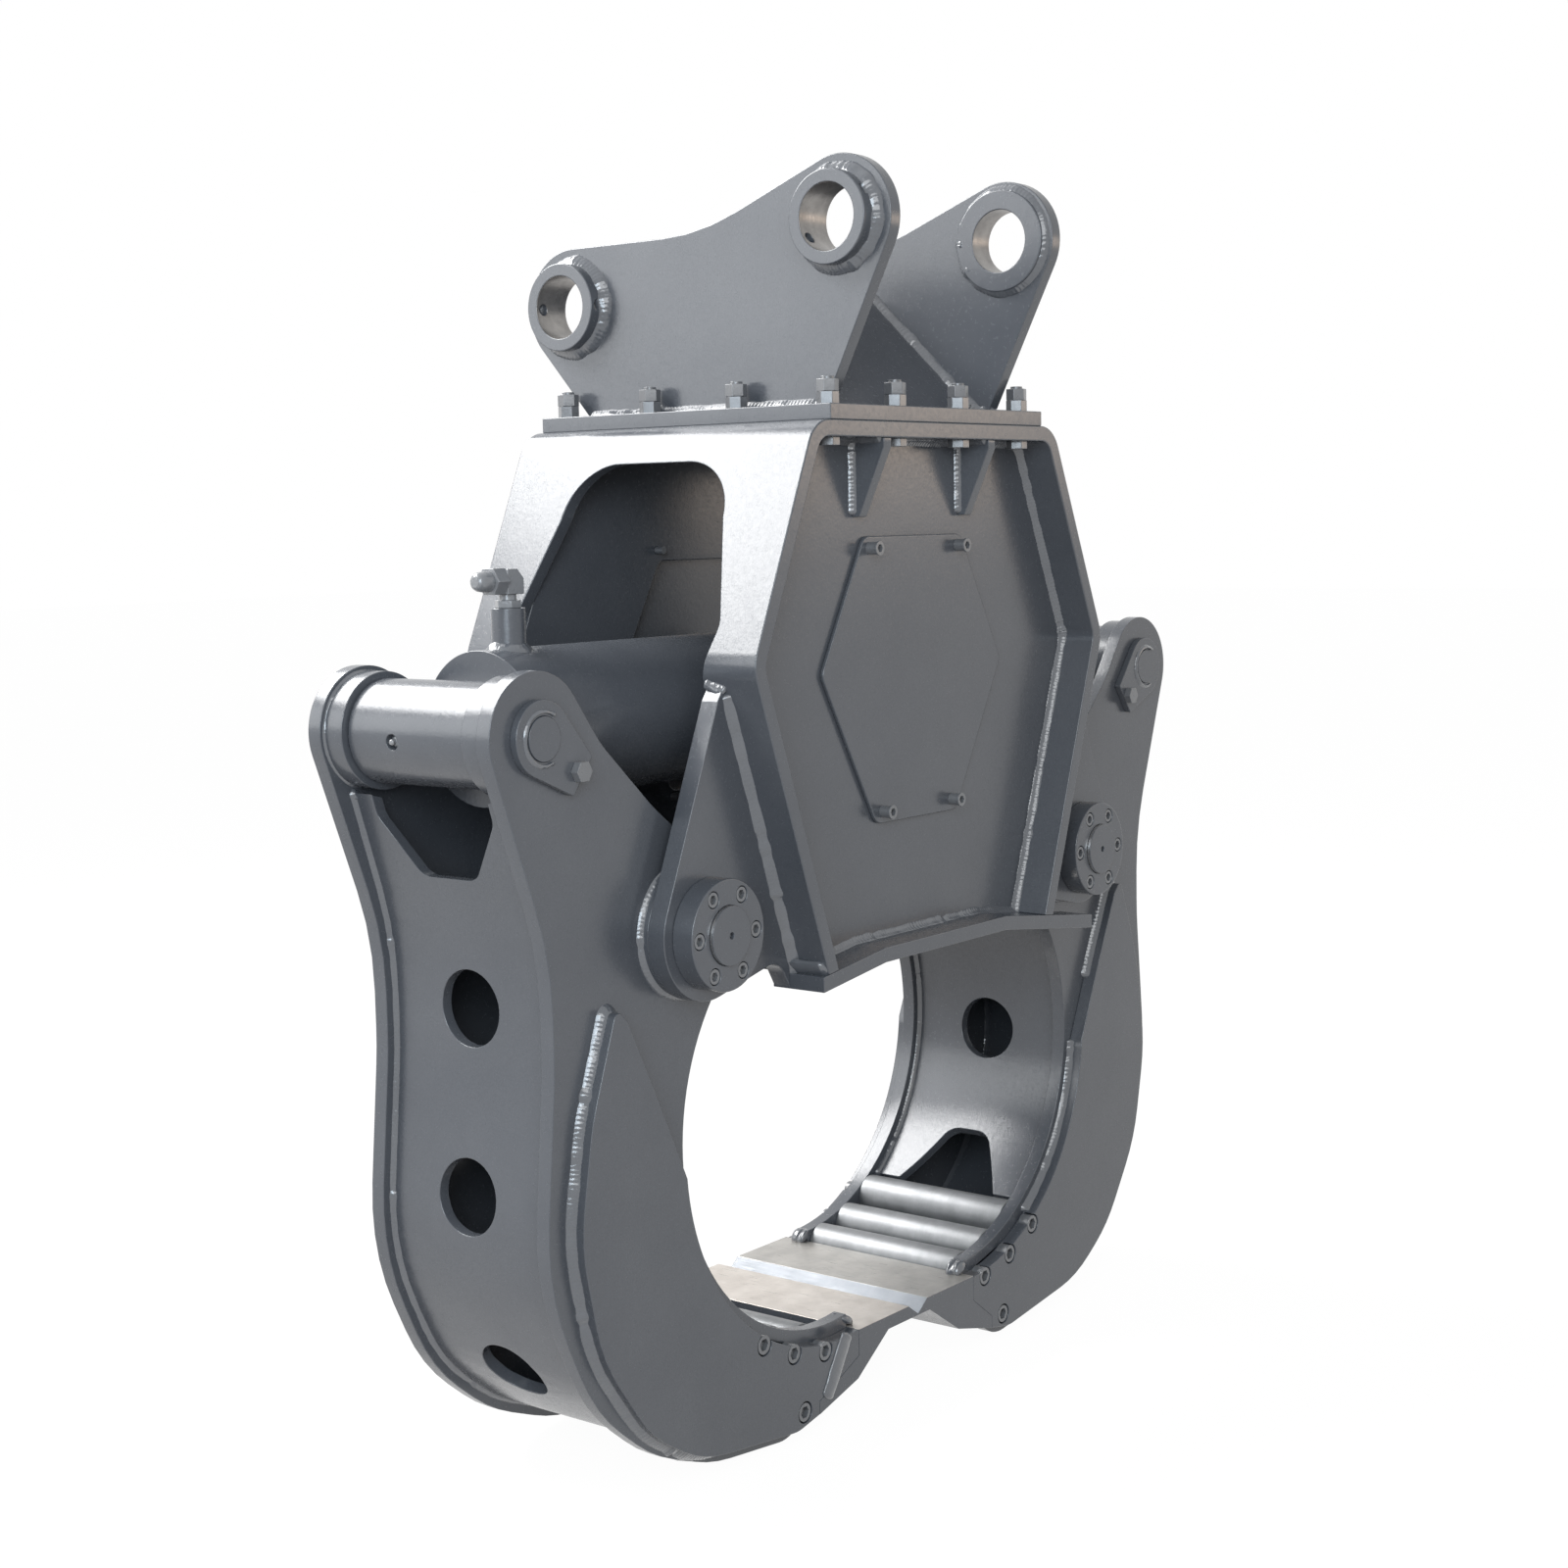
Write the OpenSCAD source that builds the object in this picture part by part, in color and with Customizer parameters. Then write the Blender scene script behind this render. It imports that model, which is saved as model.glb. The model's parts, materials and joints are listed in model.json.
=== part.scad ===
// Stump shear for an excavator. A folded steel hood hangs from the machine's arm by a bolted
// pin bracket. Two curved jaws swing on large pins at the foot of the hood, and one double-acting
// cylinder lies across the hood between the jaws' upper arms. The jaws are shown closed.
// X runs from the left jaw to the right jaw, Y from front to back and Z up. Z = 0 is the lowest
// point of the closed jaws. Outlines are measured from the jaw pins' height and lifted at the end.

/* [Pin bracket] */
// Diameter of the machine's two pins
machine_pin_d = 80; // [60:1:90]
// Free width between the ears' bosses, for the machine's arm and link
arm_gap = 320; // [280:1:340]
// Front to back distance of the two pin bores
bore_spread = 432; // [400:1:450]
// Height of the front bore above the bracket's foot plate
front_bore_h = 219; // [190:1:240]
// Height of the rear bore above the bracket's foot plate
rear_bore_h = 142; // [125:1:170]
// Thickness of an ear plate
ear_t = 20; // [14:1:26]
// Radius of the ear round each bore
ear_r = 76; // [72:1:84]
// Length of the ear's foot on the foot plate
ear_foot = 382; // [340:1:400]
// Diameter of the boss outside the ear
ring_d = 112; // [104:1:118]
// How far the left ear's bosses stand out
left_ring = 26; // [20:1:40]
// How far the right ear's bosses stand out
right_ring = 10; // [6:1:20]
// Diameter of the boss flange inside the ear
collar_d = 130; // [122:1:140]
// Thickness of the boss flange inside the ear
collar_t = 10; // [6:1:14]
// Thickness of the bent web between the ears
web_t = 16; // [10:1:20]
// Thickness of the bracket's foot plate
foot_t = 19; // [15:1:26]
// Thread diameter of the bracket bolts
bolt_d = 16; // [12:1:18]
// Width over flats of their heads and nuts
bolt_af = 24; // [20:1:27]
// Distance between the outer bolt rows
bolt_span = 420; // [400:1:430]
// Distance between the two inner bolts of a row
bolt_inner = 140; // [120:1:160]

/* [Hood] */
// How far the hood strap stands out past the front and rear plates
hood_lip = 52; // [46:1:58]
// Thickness of the hood strap
hood_t = 20; // [14:1:24]
// Height of the hood's top above the jaw pins
hood_h = 593; // [580:1:620]
// Half width of the hood at its top corner
crown_x = 267; // [262:1:280]
// Half width of the hood at its knee
knee_x = 391; // [386:1:396]
// Height of the knee above the jaw pins
knee_z = 308; // [300:1:316]
// Half width of the hood's foot, where the outline meets the jaw pins' height
foot_x = 282; // [278:1:288]
// Outer bend radius of the strap
bend_r = 45; // [35:1:60]
// Thickness of the front and rear plates
end_plate_t = 20; // [12:1:24]
// Thickness of the bottom plate
floor_t = 19; // [14:1:24]
// Depth of the bottom plate's top below the jaw pins
floor_drop = 55; // [50:1:60]
// Slope of the bottom plate's wings
wing_slope = 7.5; // [6:0.5:9]
// Thickness of a pivot plate
pivot_t = 25; // [20:1:30]
// Radius of a pivot plate round its pin
pivot_r = 80; // [76:1:84]
// Thickness of the inspection covers
cover_t = 6; // [4:1:10]
// Thickness of the gussets under the flange
gusset_t = 16; // [10:1:20]

/* [Jaw pins] */
// Distance between the two jaw pins
pin_span = 840; // [832:1:850]
// Diameter of a jaw pin
jaw_pin_d = 70; // [60:1:74]
// Diameter of a pin cap
cap_d = 132; // [126:1:140]
// Thickness of a pin cap
cap_t = 30; // [22:1:36]
// Pitch circle of the cap screws
cap_pcd = 103; // [100:1:108]

/* [Jaws] */
// Distance between the outer faces of a jaw's side plates
jaw_d = 286; // [278:1:290]
// Thickness of a side plate
side_t = 20; // [14:1:22]
// Thickness of the doubler welded on a side plate
doubler_t = 20; // [16:1:24]
// Radius of the jaws' inner curve
mouth_r = 285; // [278:1:292]
// Half width of the closed mouth at its widest
mouth_half_w = 431; // [428:1:434]
// Depth below the jaw pins that the mouth's curve would reach without the blades
mouth_low = 550; // [547:1:553]
// Thickness of the curved inner and outer plates
skin_t = 15; // [10:1:18]
// How far these plates lie inside the side plates' edges
skin_inset = 15; // [10:1:20]
// Radius of a side plate round the jaw pin
hub_r = 90; // [84:1:92]
// Radius of the jaw's hub tube
hub_tube_r = 70; // [60:1:72]
// Radius of the wear disc between jaw and pivot plate
wear_r = 78; // [74:1:84]
// Thickness of the wear disc
wear_t = 12; // [9:1:15]
// Diameter of the three grip bars
bar_d = 55; // [44:1:58]
// Diameter of the grip holes in the curved plates
hand_hole_d = 90; // [70:1:100]

/* [Blades] */
// Where the two cutting edges meet, to the right of the middle
meet_x = 20; // [10:1:24]
// Depth of the blades' top face below the jaw pins
blade_drop = 565; // [562:1:568]
// Height of the bevel at the cutting edge
bevel_h = 16; // [10:1:18]
// Width of the bevel
bevel_w = 22; // [14:1:28]
// Width of the flat top behind the bevel
blade_w = 112; // [104:1:114]
// Thickness left at the cutting edge
edge_t = 2.5; // [1.5:0.5:6]

/* [Cylinder] */
// Distance between the two cylinder pins with the jaws closed
eye_span = 1314; // [1306:1:1320]
// Height of the cylinder above the jaw pins
eye_z = 245; // [240:1:250]
// Radius of a side plate round the cylinder pin
eye_r = 74; // [70:1:78]
// Diameter of a cylinder pin
eye_pin_d = 60; // [50:1:64]
// Outer diameter of the cross tubes at the cylinder's ends
tube_d = 120; // [110:1:126]
// Length of the collars between a cross tube and the side plates
eye_collar_l = 29; // [24:1:34]
// Outer diameter of the barrel
barrel_d = 180; // [172:1:186]
// Bore of the barrel
bore_d = 140; // [130:1:146]
// Diameter of the piston rod
rod_d = 90; // [70:1:100]
// Length of the barrel from its closed face to the gland nut
barrel_l = 740; // [725:1:745]
// Diameter of the port stubs
stub_d = 40; // [34:1:44]

/* [Hidden] */
$fn = 96;

// Radial clearance of a turning fit, and of a piece that only sits in its hole
run = 0.05;
seat = 0.02;
// Side clearance between turning faces
side_gap = 1;
// A cut reaches this far past the faces it goes through
past = 1;

// Colours of the paint, the bare machined steel and the dark seals
paint = [0.36, 0.37, 0.39];
paint_dark = [0.30, 0.31, 0.33];
steel = [0.66, 0.66, 0.67];
chrome = [0.80, 0.81, 0.83];
bronze = [0.62, 0.47, 0.24];
zinc = [0.52, 0.53, 0.55];
seal_black = [0.08, 0.08, 0.09];

// Points and outlines in a plane.
function turned(v, a) = [v[0] * cos(a) - v[1] * sin(a), v[0] * sin(a) + v[1] * cos(a)];
function polar(r, a) = [r * cos(a), r * sin(a)];
function unit(v) = v / norm(v);
function xy(p) = [p[0], p[1]];
function side_of(a, b) = sign(a[0] * b[1] - a[1] * b[0]);
// Where the tangent from p touches the circle (c, r), on the left (s = 1) or right (s = -1).
function touch(p, c, r, s) =
    let (v = c - p, d = norm(v))
    p + turned(v / d, s * asin(r / d)) * sqrt(d * d - r * r);
// Points of an arc about c from angle a0 to a1, as corners without a radius.
function arc(c, r, a0, a1) =
    let (n = ceil(abs(a1 - a0) / 5))
    [for (k = [0:n]) concat(c + polar(r, a0 + (a1 - a0) * k / n), 0)];
function dir_of(c, p) = atan2(p[1] - c[1], p[0] - c[0]);
// Clockwise arc about c, between the tangent that comes from p and the one that leaves for q.
function wrapped(c, r, p, q) =
    let (a0 = dir_of(c, touch(p, c, r, 1)), a1 = dir_of(c, touch(q, c, r, -1)))
    arc(c, r, a0, a1 > a0 ? a1 - 360 : a1);
// One corner p of radius r between a and b, limited by the sides beside it.
function corner(a, p, b, r) =
    let (u = unit(a - p), v = unit(b - p), half = acos(max(-1, min(1, u * v))) / 2)
    r == 0 || half > 89 ? [p] :
    let (cut = min(r / tan(half), 0.49 * min(norm(a - p), norm(b - p))),
         c = p + unit(u + v) * cut / cos(half),
         s = p + u * cut - c,
         e = p + v * cut - c,
         turn = (180 - 2 * half) * side_of(s, e),
         n = max(2, ceil(abs(turn) / 7)))
    [for (k = [0:n]) c + turned(s, turn * k / n)];
// A closed outline from corners [x, y, radius].
function rounded(path) =
    let (n = len(path))
    [for (i = [0:n - 1])
        each corner(xy(path[(i + n - 1) % n]), xy(path[i]), xy(path[(i + 1) % n]), path[i][2])];
// The same for an open line, whose ends stay.
function rounded_line(path) =
    let (n = len(path))
    [xy(path[0]),
     for (i = [1:n - 2]) each corner(xy(path[i - 1]), xy(path[i]), xy(path[i + 1]), path[i][2]),
     xy(path[n - 1])];
// A line moved sideways by d, to its left where d is positive.
function shifted(line, d) =
    let (n = len(line) - 1)
    [for (i = [0:n])
        let (t = unit(line[min(i + 1, n)] - line[max(i - 1, 0)]))
        line[i] + d * [-t[1], t[0]]];
function backwards(list) = [for (i = [len(list) - 1:-1:0]) list[i]];
function mirrored(path) = [for (p = backwards(path)) [-p[0], p[1], p[2]]];
// A strip between two shifts of a line.
function strip(line, d0, d1) = concat(shifted(line, d0), backwards(shifted(line, d1)));

// Plates that stand front to back (drawn in XZ) and left to right (drawn in YZ).
module slab_y(y0, y1) translate([0, y1, 0]) rotate([90, 0, 0]) linear_extrude(y1 - y0) children();
module slab_x(x0, x1) translate([x0, 0, 0]) rotate([90, 0, 90]) linear_extrude(x1 - x0) children();
module front_and_rear() {
    children();
    mirror([0, 1, 0]) children();
}
// A jaw is drawn for the right side; s = -1 makes the left one.
module on_side(s) {
    if (s < 0) mirror([1, 0, 0]) children();
    else children();
}
// A round bar along Y, from y0 to y1, at x and z.
module bar_y(p, r, y0, y1) translate([p[0], y1, p[1]]) rotate([90, 0, 0]) cylinder(r = r, h = y1 - y0);
// A round bar along X.
module bar_x(p, r, x0, x1) translate([x0, p[0], p[1]]) rotate([0, 90, 0]) cylinder(r = r, h = x1 - x0);
module hex(af, h) cylinder(d = af / cos(30), h = h, $fn = 6);

// Levels over the jaw pins.
flange_z = hood_h - hood_t;
bed_z = hood_h + foot_t;
jaw_y = jaw_d / 2;
jaw_in = jaw_y - side_t;
doubler_y = jaw_y + doubler_t;
wear_y = jaw_y + wear_t;
plate_y = wear_y + side_gap + pivot_t;
half_d = plate_y + hood_lip;

// Jaw outlines, in a plane with the jaw pins' height as zero.
hub = [pin_span / 2, 0];
eye = [eye_span / 2, eye_z];
mouth = [mouth_half_w - mouth_r, mouth_r - mouth_low];
// The jaw's back, from the arm down to the heel of the blade.
back_line = [
    [646, -2, 400],
    [646, -130, 500],
    [669, -372, 300],
    [594, -534, 250],
    [497, -615, 250],
    [390, -659, 250],
    [238, -677, 60]];
heel = [200, -652];
heel_top = [200, -635];
blade_back_z = -blade_drop - 35;
jaw_low = min([for (p = rounded(concat([[646, -2, 0]], back_line, [[heel[0], heel[1], 0]]))) p[1]]);
pin_h = -jaw_low;
module lifted() translate([0, 0, pin_h]) children();

// The blade's cutting edge, crest and back, for the jaw on side s.
function edge_x(s) = s * meet_x;
function crest_x(s) = edge_x(s) + bevel_w;
function blade_back(s) = crest_x(s) + blade_w;

// HOOD

crown = [crown_x, hood_h, bend_r];
knee = [knee_x, knee_z, bend_r];
// The wall below the knee passes foot_x at the jaw pins' height and runs on below the floor.
sill_z = -120;
sill = [foot_x + (knee_x - foot_x) * sill_z / knee_z, sill_z, 0];
hood_line = rounded_line([[-sill[0], sill_z, 0], [-knee_x, knee_z, bend_r], [-crown_x, hood_h, bend_r],
    crown, knee, sill]);
hood_inside = shifted(hood_line, -hood_t);

// The bottom plate is flat in the middle and slopes down to both sides.
wing_x = 138;
floor_end = 268;
tongue_end = 360;
function wing_drop(x) = (x - wing_x) * tan(wing_slope);
module floor_profile(x_left, x_right) {
    polygon([[-wing_x, -floor_drop], [wing_x, -floor_drop], [x_right, -floor_drop - wing_drop(x_right)],
        [x_right, -floor_drop - floor_t - wing_drop(x_right)], [wing_x, -floor_drop - floor_t],
        [-wing_x, -floor_drop - floor_t], [-x_left, -floor_drop - floor_t - wing_drop(x_left)],
        [-x_left, -floor_drop - wing_drop(x_left)]]);
}
module below_floor_top() {
    wide = 600;
    polygon([[-wing_x, -floor_drop], [wing_x, -floor_drop], [wide, -floor_drop - wing_drop(wide)],
        [wide, -wide], [-wide, -wide], [-wide, -floor_drop - wing_drop(wide)]]);
}

// The openings in the hood's sides let the cylinder and the jaws' arms through.
arch_y = jaw_y + 8;
arch_top = flange_z - 26;
arch_half = [[arch_y, 60, 40], [arch_y, 292, 25], [166, 356, 30], [122, arch_top - 39, 40], [60, arch_top, 60]];
arch_outline = concat(arch_half, mirrored(arch_half));

bolt_rows = [-bolt_span / 2, -bolt_inner / 2, bolt_inner / 2, bolt_span / 2];
module at_bracket_bolts() {
    for (x = bolt_rows)
        for (y = bolt_rows)
            if (abs(x) == bolt_span / 2 || abs(y) == bolt_span / 2)
                translate([x, y, 0]) children();
}
module bolt_holes(z0, z1) {
    at_bracket_bolts() translate([0, 0, z0 - past]) cylinder(d = bolt_d + 1, h = z1 - z0 + 2 * past);
}

module hood_strap() color(paint) lifted() {
    difference() {
        slab_y(-half_d, half_d) difference() {
            polygon(strip(hood_line, 0, -hood_t));
            below_floor_top();
        }
        slab_x(-knee_x - 40, -crown_x + 60) polygon(rounded(arch_outline));
        slab_x(crown_x - 60, knee_x + 40) polygon(rounded(arch_outline));
        bolt_holes(flange_z, hood_h);
    }
}

// Inspection opening, its cover and the cover's screws.
cover_top = flange_z - 120;
cover_low = 91;
cover_half = [[90, cover_low, 18], [200, 285, 18], [108, cover_top, 18]];
cover_outline = concat(cover_half, mirrored(cover_half));
cover_rim = 26;
cover_screws_at = [[-98, cover_top - 15], [98, cover_top - 15], [-78, cover_low + 15], [78, cover_low + 15]];
cover_screw_d = 10;
module end_plate() {
    difference() {
        slab_y(-plate_y, -plate_y + end_plate_t) difference() {
            polygon(hood_inside);
            below_floor_top();
            polygon([for (p = rounded(cover_outline)) [p[0] * (1 - cover_rim / 200),
                (p[1] - knee_z) * (1 - cover_rim / 180) + knee_z - 8]]);
        }
        for (p = cover_screws_at)
            bar_y(p, cover_screw_d / 2 + seat, -plate_y - past, -plate_y + end_plate_t + past);
    }
}
module front_plate() color(paint) lifted() end_plate();
module rear_plate() color(paint) lifted() mirror([0, 1, 0]) end_plate();
module inspection_covers() color(paint) lifted() front_and_rear() difference() {
    slab_y(-plate_y - cover_t, -plate_y) polygon(rounded(cover_outline));
    for (p = cover_screws_at) bar_y(p, cover_screw_d / 2 + seat, -plate_y - cover_t - past, -plate_y + past);
}
cover_spacer_l = 14;
cover_head_l = 12;
module cover_screws() color(zinc) lifted() front_and_rear() {
    face = -plate_y - cover_t;
    for (p = cover_screws_at) difference() {
        union() {
            bar_y(p, cover_screw_d / 2, face, -plate_y + end_plate_t + 12);
            bar_y(p, 8, face - cover_spacer_l, face);
            bar_y(p, 9, face - cover_spacer_l - cover_head_l, face - cover_spacer_l);
        }
        translate([p[0], face - cover_spacer_l - cover_head_l + 7, p[1]]) rotate([90, 0, 0])
            hex(9, 8);
    }
}

gusset_x = 117;
gusset_h = 96;
gusset_nose = 11;
module flange_gussets() color(paint) lifted() front_and_rear() {
    reach = half_d - 2;
    for (x = [-gusset_x, gusset_x]) slab_x(x - gusset_t / 2, x + gusset_t / 2)
        polygon([[-plate_y, flange_z], [-reach, flange_z], [-reach, flange_z - gusset_nose],
            [-plate_y - gusset_nose, flange_z - gusset_h], [-plate_y, flange_z - gusset_h]]);
}

module bottom_plate() color(paint) lifted() difference() {
    slab_y(-half_d, half_d) floor_profile(floor_end, tongue_end);
    translate([floor_end, -plate_y, -floor_drop - 100]) cube([tongue_end, 2 * plate_y, 100]);
}

// A pivot plate is welded against the hood's wall and holds one end of a jaw pin.
function wall_x(z) = foot_x + (knee_x - foot_x) * z / knee_z;
module pivot_profile() {
    top = knee_z - 24;
    brow = [knee_x + 3, knee_z - 40];
    notch = [floor_end + 22, -52];
    low = notch[1] - 37;
    difference() {
        polygon(rounded(concat([[wall_x(top) - 6, top, 0], [wall_x(top), top, 0], concat(brow, 10)],
            wrapped(hub, pivot_r, brow, notch), [concat(notch, 45), [floor_end, low, 0],
            [floor_end, notch[1], 0], [floor_end - 60, notch[1], 0]])));
        below_wall();
        intersection() {
            below_floor_top();
            translate([0, -300]) square([floor_end, 400]);
        }
    }
}
// Everything inside the outer line of the hood's wall below the knee.
module below_wall() polygon(concat(hood_line, [[0, sill_z - 200]]));
cap_screw_d = 12;
cap_head_d = 18;
cap_screws_n = 6;
module at_cap_screws() {
    for (i = [0:cap_screws_n - 1]) translate([hub[0], 0, hub[1]]) rotate([0, -i * 360 / cap_screws_n, 0])
        translate([cap_pcd / 2, 0, 0]) children();
}
module pivot_plates() front_and_rear() difference() {
    slab_y(-plate_y, -plate_y + pivot_t) pivot_profile();
    bar_y(hub, jaw_pin_d / 2 + run, -plate_y - past, -plate_y + pivot_t + past);
    at_cap_screws() bar_y([0, 0], cap_screw_d / 2 + seat, -plate_y - past, -plate_y + pivot_t + past);
}
module left_pivot_plates() color(paint) lifted() on_side(-1) pivot_plates();
module right_pivot_plates() color(paint) lifted() on_side(1) pivot_plates();

// PIN BRACKET

front_bore = [-bore_spread / 2, bed_z + front_bore_h];
rear_bore = [bore_spread / 2, bed_z + rear_bore_h];
ear_in = arm_gap / 2 + collar_t;
ear_out = ear_in + ear_t;

module bracket_foot_plate() color(paint) lifted() difference() {
    half_w = bolt_span / 2 + 26;
    translate([-half_w, -half_d, hood_h]) cube([2 * half_w, 2 * half_d, foot_t]);
    bolt_holes(hood_h, bed_z);
}

module ear_profile() {
    front_foot = [-ear_foot / 2, bed_z];
    rear_foot = [ear_foot / 2, bed_z];
    brow = [0, rear_bore[1] + ear_r];
    over_rear = [rear_bore[0] - 20, rear_bore[1] + ear_r];
    difference() {
        polygon(rounded(concat([concat(front_foot, 0)], wrapped(front_bore, ear_r, front_foot, brow),
            [concat(brow, 350)], wrapped(rear_bore, ear_r, over_rear, rear_foot), [concat(rear_foot, 0)])));
        translate(front_bore) circle(r = ring_d / 2 + seat);
        translate(rear_bore) circle(r = ring_d / 2 + seat);
    }
}
module left_ear() color(paint) lifted() slab_x(-ear_out, -ear_in) ear_profile();
module right_ear() color(paint) lifted() slab_x(ear_in, ear_out) ear_profile();

// The web rises from the foot plate, bends over between the ears and comes down behind.
module ear_web() color(paint) lifted() {
    web_line = rounded_line([[-172, bed_z, 0], [18, bed_z + 182, 40], [166, bed_z, 0]]);
    slab_x(-ear_in, ear_in) intersection() {
        polygon(strip(concat([[-212, bed_z - 38]], web_line, [[206, bed_z - 49]]), 0, -web_t));
        translate([-half_d, bed_z]) square([2 * half_d, 300]);
    }
}

// Each boss is turned in one piece: a flange inside the ear and a ring outside it.
module boss(at, ring) difference() {
    union() {
        bar_x(at, collar_d / 2, arm_gap / 2, ear_in);
        bar_x(at, ring_d / 2, ear_in, ear_out + ring);
    }
    bar_x(at, machine_pin_d / 2, arm_gap / 2 - past, ear_out + ring + past);
}
// The left bosses are cross-drilled for the bolt that locks a machine pin.
lock_hole_d = 14;
module ear_bosses() color(paint) lifted() {
    lock_x = -ear_out - left_ring / 2;
    difference() {
        mirror([1, 0, 0]) boss(front_bore, left_ring);
        translate([lock_x, front_bore[0], front_bore[1]]) rotate([90 - 32, 0, 0])
            cylinder(d = lock_hole_d, h = ring_d + 20, center = true);
    }
    difference() {
        mirror([1, 0, 0]) boss(rear_bore, left_ring);
        translate([lock_x, rear_bore[0], rear_bore[1]]) rotate([90, 0, 0])
            cylinder(d = lock_hole_d, h = ring_d + 20, center = true);
    }
    boss(front_bore, right_ring);
    boss(rear_bore, right_ring);
}

nut_h = 15;
nut_gap = 0.1;
bolt_head_h = 10;
module bracket_bolts() color(zinc) lifted() at_bracket_bolts() {
    translate([0, 0, flange_z - bolt_head_h]) hex(bolt_af, bolt_head_h);
    translate([0, 0, flange_z]) cylinder(d = bolt_d, h = bed_z - flange_z + 2 * nut_h + 3);
}
module bracket_nuts() color(zinc) lifted() at_bracket_bolts()
    for (k = [0, 1]) translate([0, 0, bed_z + k * nut_h]) rotate([0, 0, 17 * k]) difference() {
        hex(bolt_af, nut_h - nut_gap);
        translate([0, 0, -past]) cylinder(d = bolt_d + 2 * seat, h = nut_h + 2 * past);
    }

// JAW PINS

pin_end = plate_y + cap_t + 5;
module jaw_pins() color(steel) lifted() for (s = [-1, 1]) on_side(s) difference() {
    bar_y(hub, jaw_pin_d / 2, -pin_end, pin_end);
    front_and_rear() bar_y(hub, 4, -pin_end - past, -pin_end + 6);
}
module pin_caps() color(paint) lifted() for (s = [-1, 1]) on_side(s) front_and_rear() difference() {
    bar_y(hub, cap_d / 2, -plate_y - cap_t, -plate_y);
    bar_y(hub, jaw_pin_d / 2 + run, -plate_y - cap_t - past, -plate_y + past);
    at_cap_screws() {
        bar_y([0, 0], cap_screw_d / 2 + seat, -plate_y - cap_t - past, -plate_y + past);
        bar_y([0, 0], cap_head_d / 2 + 1, -plate_y - cap_t - past, -plate_y - cap_t + cap_screw_d + 1);
    }
}
module cap_screws() color(zinc) lifted() for (s = [-1, 1]) on_side(s) front_and_rear() at_cap_screws() {
    seat_y = -plate_y - cap_t + cap_screw_d + 1;
    difference() {
        union() {
            bar_y([0, 0], cap_head_d / 2, seat_y - cap_screw_d, seat_y);
            bar_y([0, 0], cap_screw_d / 2, seat_y, -plate_y + pivot_t - 4);
        }
        translate([0, seat_y - cap_screw_d + 7, 0]) rotate([90, 0, 0]) hex(10, 8);
    }
}

// JAWS

// Grip bars lie just inside the mouth's edge; the last one ties the heel.
bar_at = [for (k = [0:2]) mouth + polar(mouth_r + bar_d / 2 - 1.5, -58.4 - 12.2 * k)];
tie_at = [230, -640];
tie_d = 40;
bar_screw_d = 16;
bar_head_d = 24;
screw_sink_d = 28;
shoulder = [470, 152];
neck = [556, 232];
hub_foot_dir = 222;
module side_profile(s) {
    difference() {
        polygon(rounded(concat(wrapped(eye, eye_r, neck, xy(back_line[0])), back_line,
            [concat(heel, 0), concat(heel_top, 0), [blade_back(s), blade_back_z, 0],
             [blade_back(s), -mouth_low + 20, 0], concat(mouth, 0)],
            arc(hub, hub_r, hub_foot_dir, dir_of(hub, touch(shoulder, hub, hub_r, -1))),
            [concat(shoulder, 200), concat(neck, 150)])));
        translate(mouth) circle(r = mouth_r);
    }
}
bush_t = 10;
module side_plates(s) on_side(s) front_and_rear() difference() {
    slab_y(-jaw_y, -jaw_in) side_profile(s);
    bar_y(hub, jaw_pin_d / 2 + bush_t + seat, -jaw_y - past, -jaw_in + past);
    bar_y(eye, eye_pin_d / 2 + seat, -jaw_y - past, -jaw_in + past);
    for (p = concat(bar_at, [tie_at])) bar_y(p, bar_screw_d / 2 + seat, -jaw_y - past, -jaw_in + past);
    bar_y(keeper_bolt_at, 8 + seat, -jaw_y - past, -jaw_in + past);
}

doubler_inset = 17;
module doubler_profile(s) {
    difference() {
        polygon(rounded([[563, -66, 11], [608, -190, 250], [632, -325, 220], [601, -467, 220], [519, -582, 200],
            [428, -638, 200], [245, -661, 60], concat(heel, 0), concat(heel_top, 0),
            [blade_back(s), blade_back_z, 0], [blade_back(s), -mouth_low + 20, 0], concat(mouth, 0),
            concat(mouth + polar(mouth_r + doubler_inset - 4, -6.7), 0),
            concat(mouth + polar(mouth_r + 60, 10), 300), [545, -84, 8]]));
        translate(mouth) circle(r = mouth_r + doubler_inset);
    }
}
module doublers(s) on_side(s) front_and_rear() difference() {
    slab_y(-doubler_y, -jaw_y) doubler_profile(s);
    for (p = concat(bar_at, [tie_at])) {
        bar_y(p, bar_screw_d / 2 + seat, -doubler_y - past, -jaw_y + past);
        bar_y(p, screw_sink_d / 2, -doubler_y - past, -jaw_y - 3);
    }
}

// The outer skin follows the jaw's back, with hand holes and a notch under the cylinder's eye.
skin_top = [702, 176, 0];
skin_foot = [278, -668, 0];
skin_line = rounded_line(concat([skin_top], [for (i = [0:5]) back_line[i]], [skin_foot]));
notch_outline = [[-92, 260, 0], [-92, 150, 20], [-42, 81, 25], [42, 81, 25], [92, 150, 20], [92, 260, 0]];
hole_z = [-72, -290];
low_hole = [578, 0, -516];
module outer_skin() difference() {
    slab_y(-jaw_in, jaw_in) difference() {
        polygon(strip(skin_line, -skin_inset, -skin_inset - skin_t));
        translate(eye) circle(r = eye_r + 2);
    }
    slab_x(eye[0] - eye_r, eye[0] + 2 * eye_r) polygon(rounded(notch_outline));
    for (z = hole_z) bar_x([0, z], hand_hole_d / 2, 560, 700);
    translate(low_hole) rotate([0, 90 + 38, 0]) cylinder(d = hand_hole_d, h = 6 * skin_inset, center = true);
}

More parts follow.
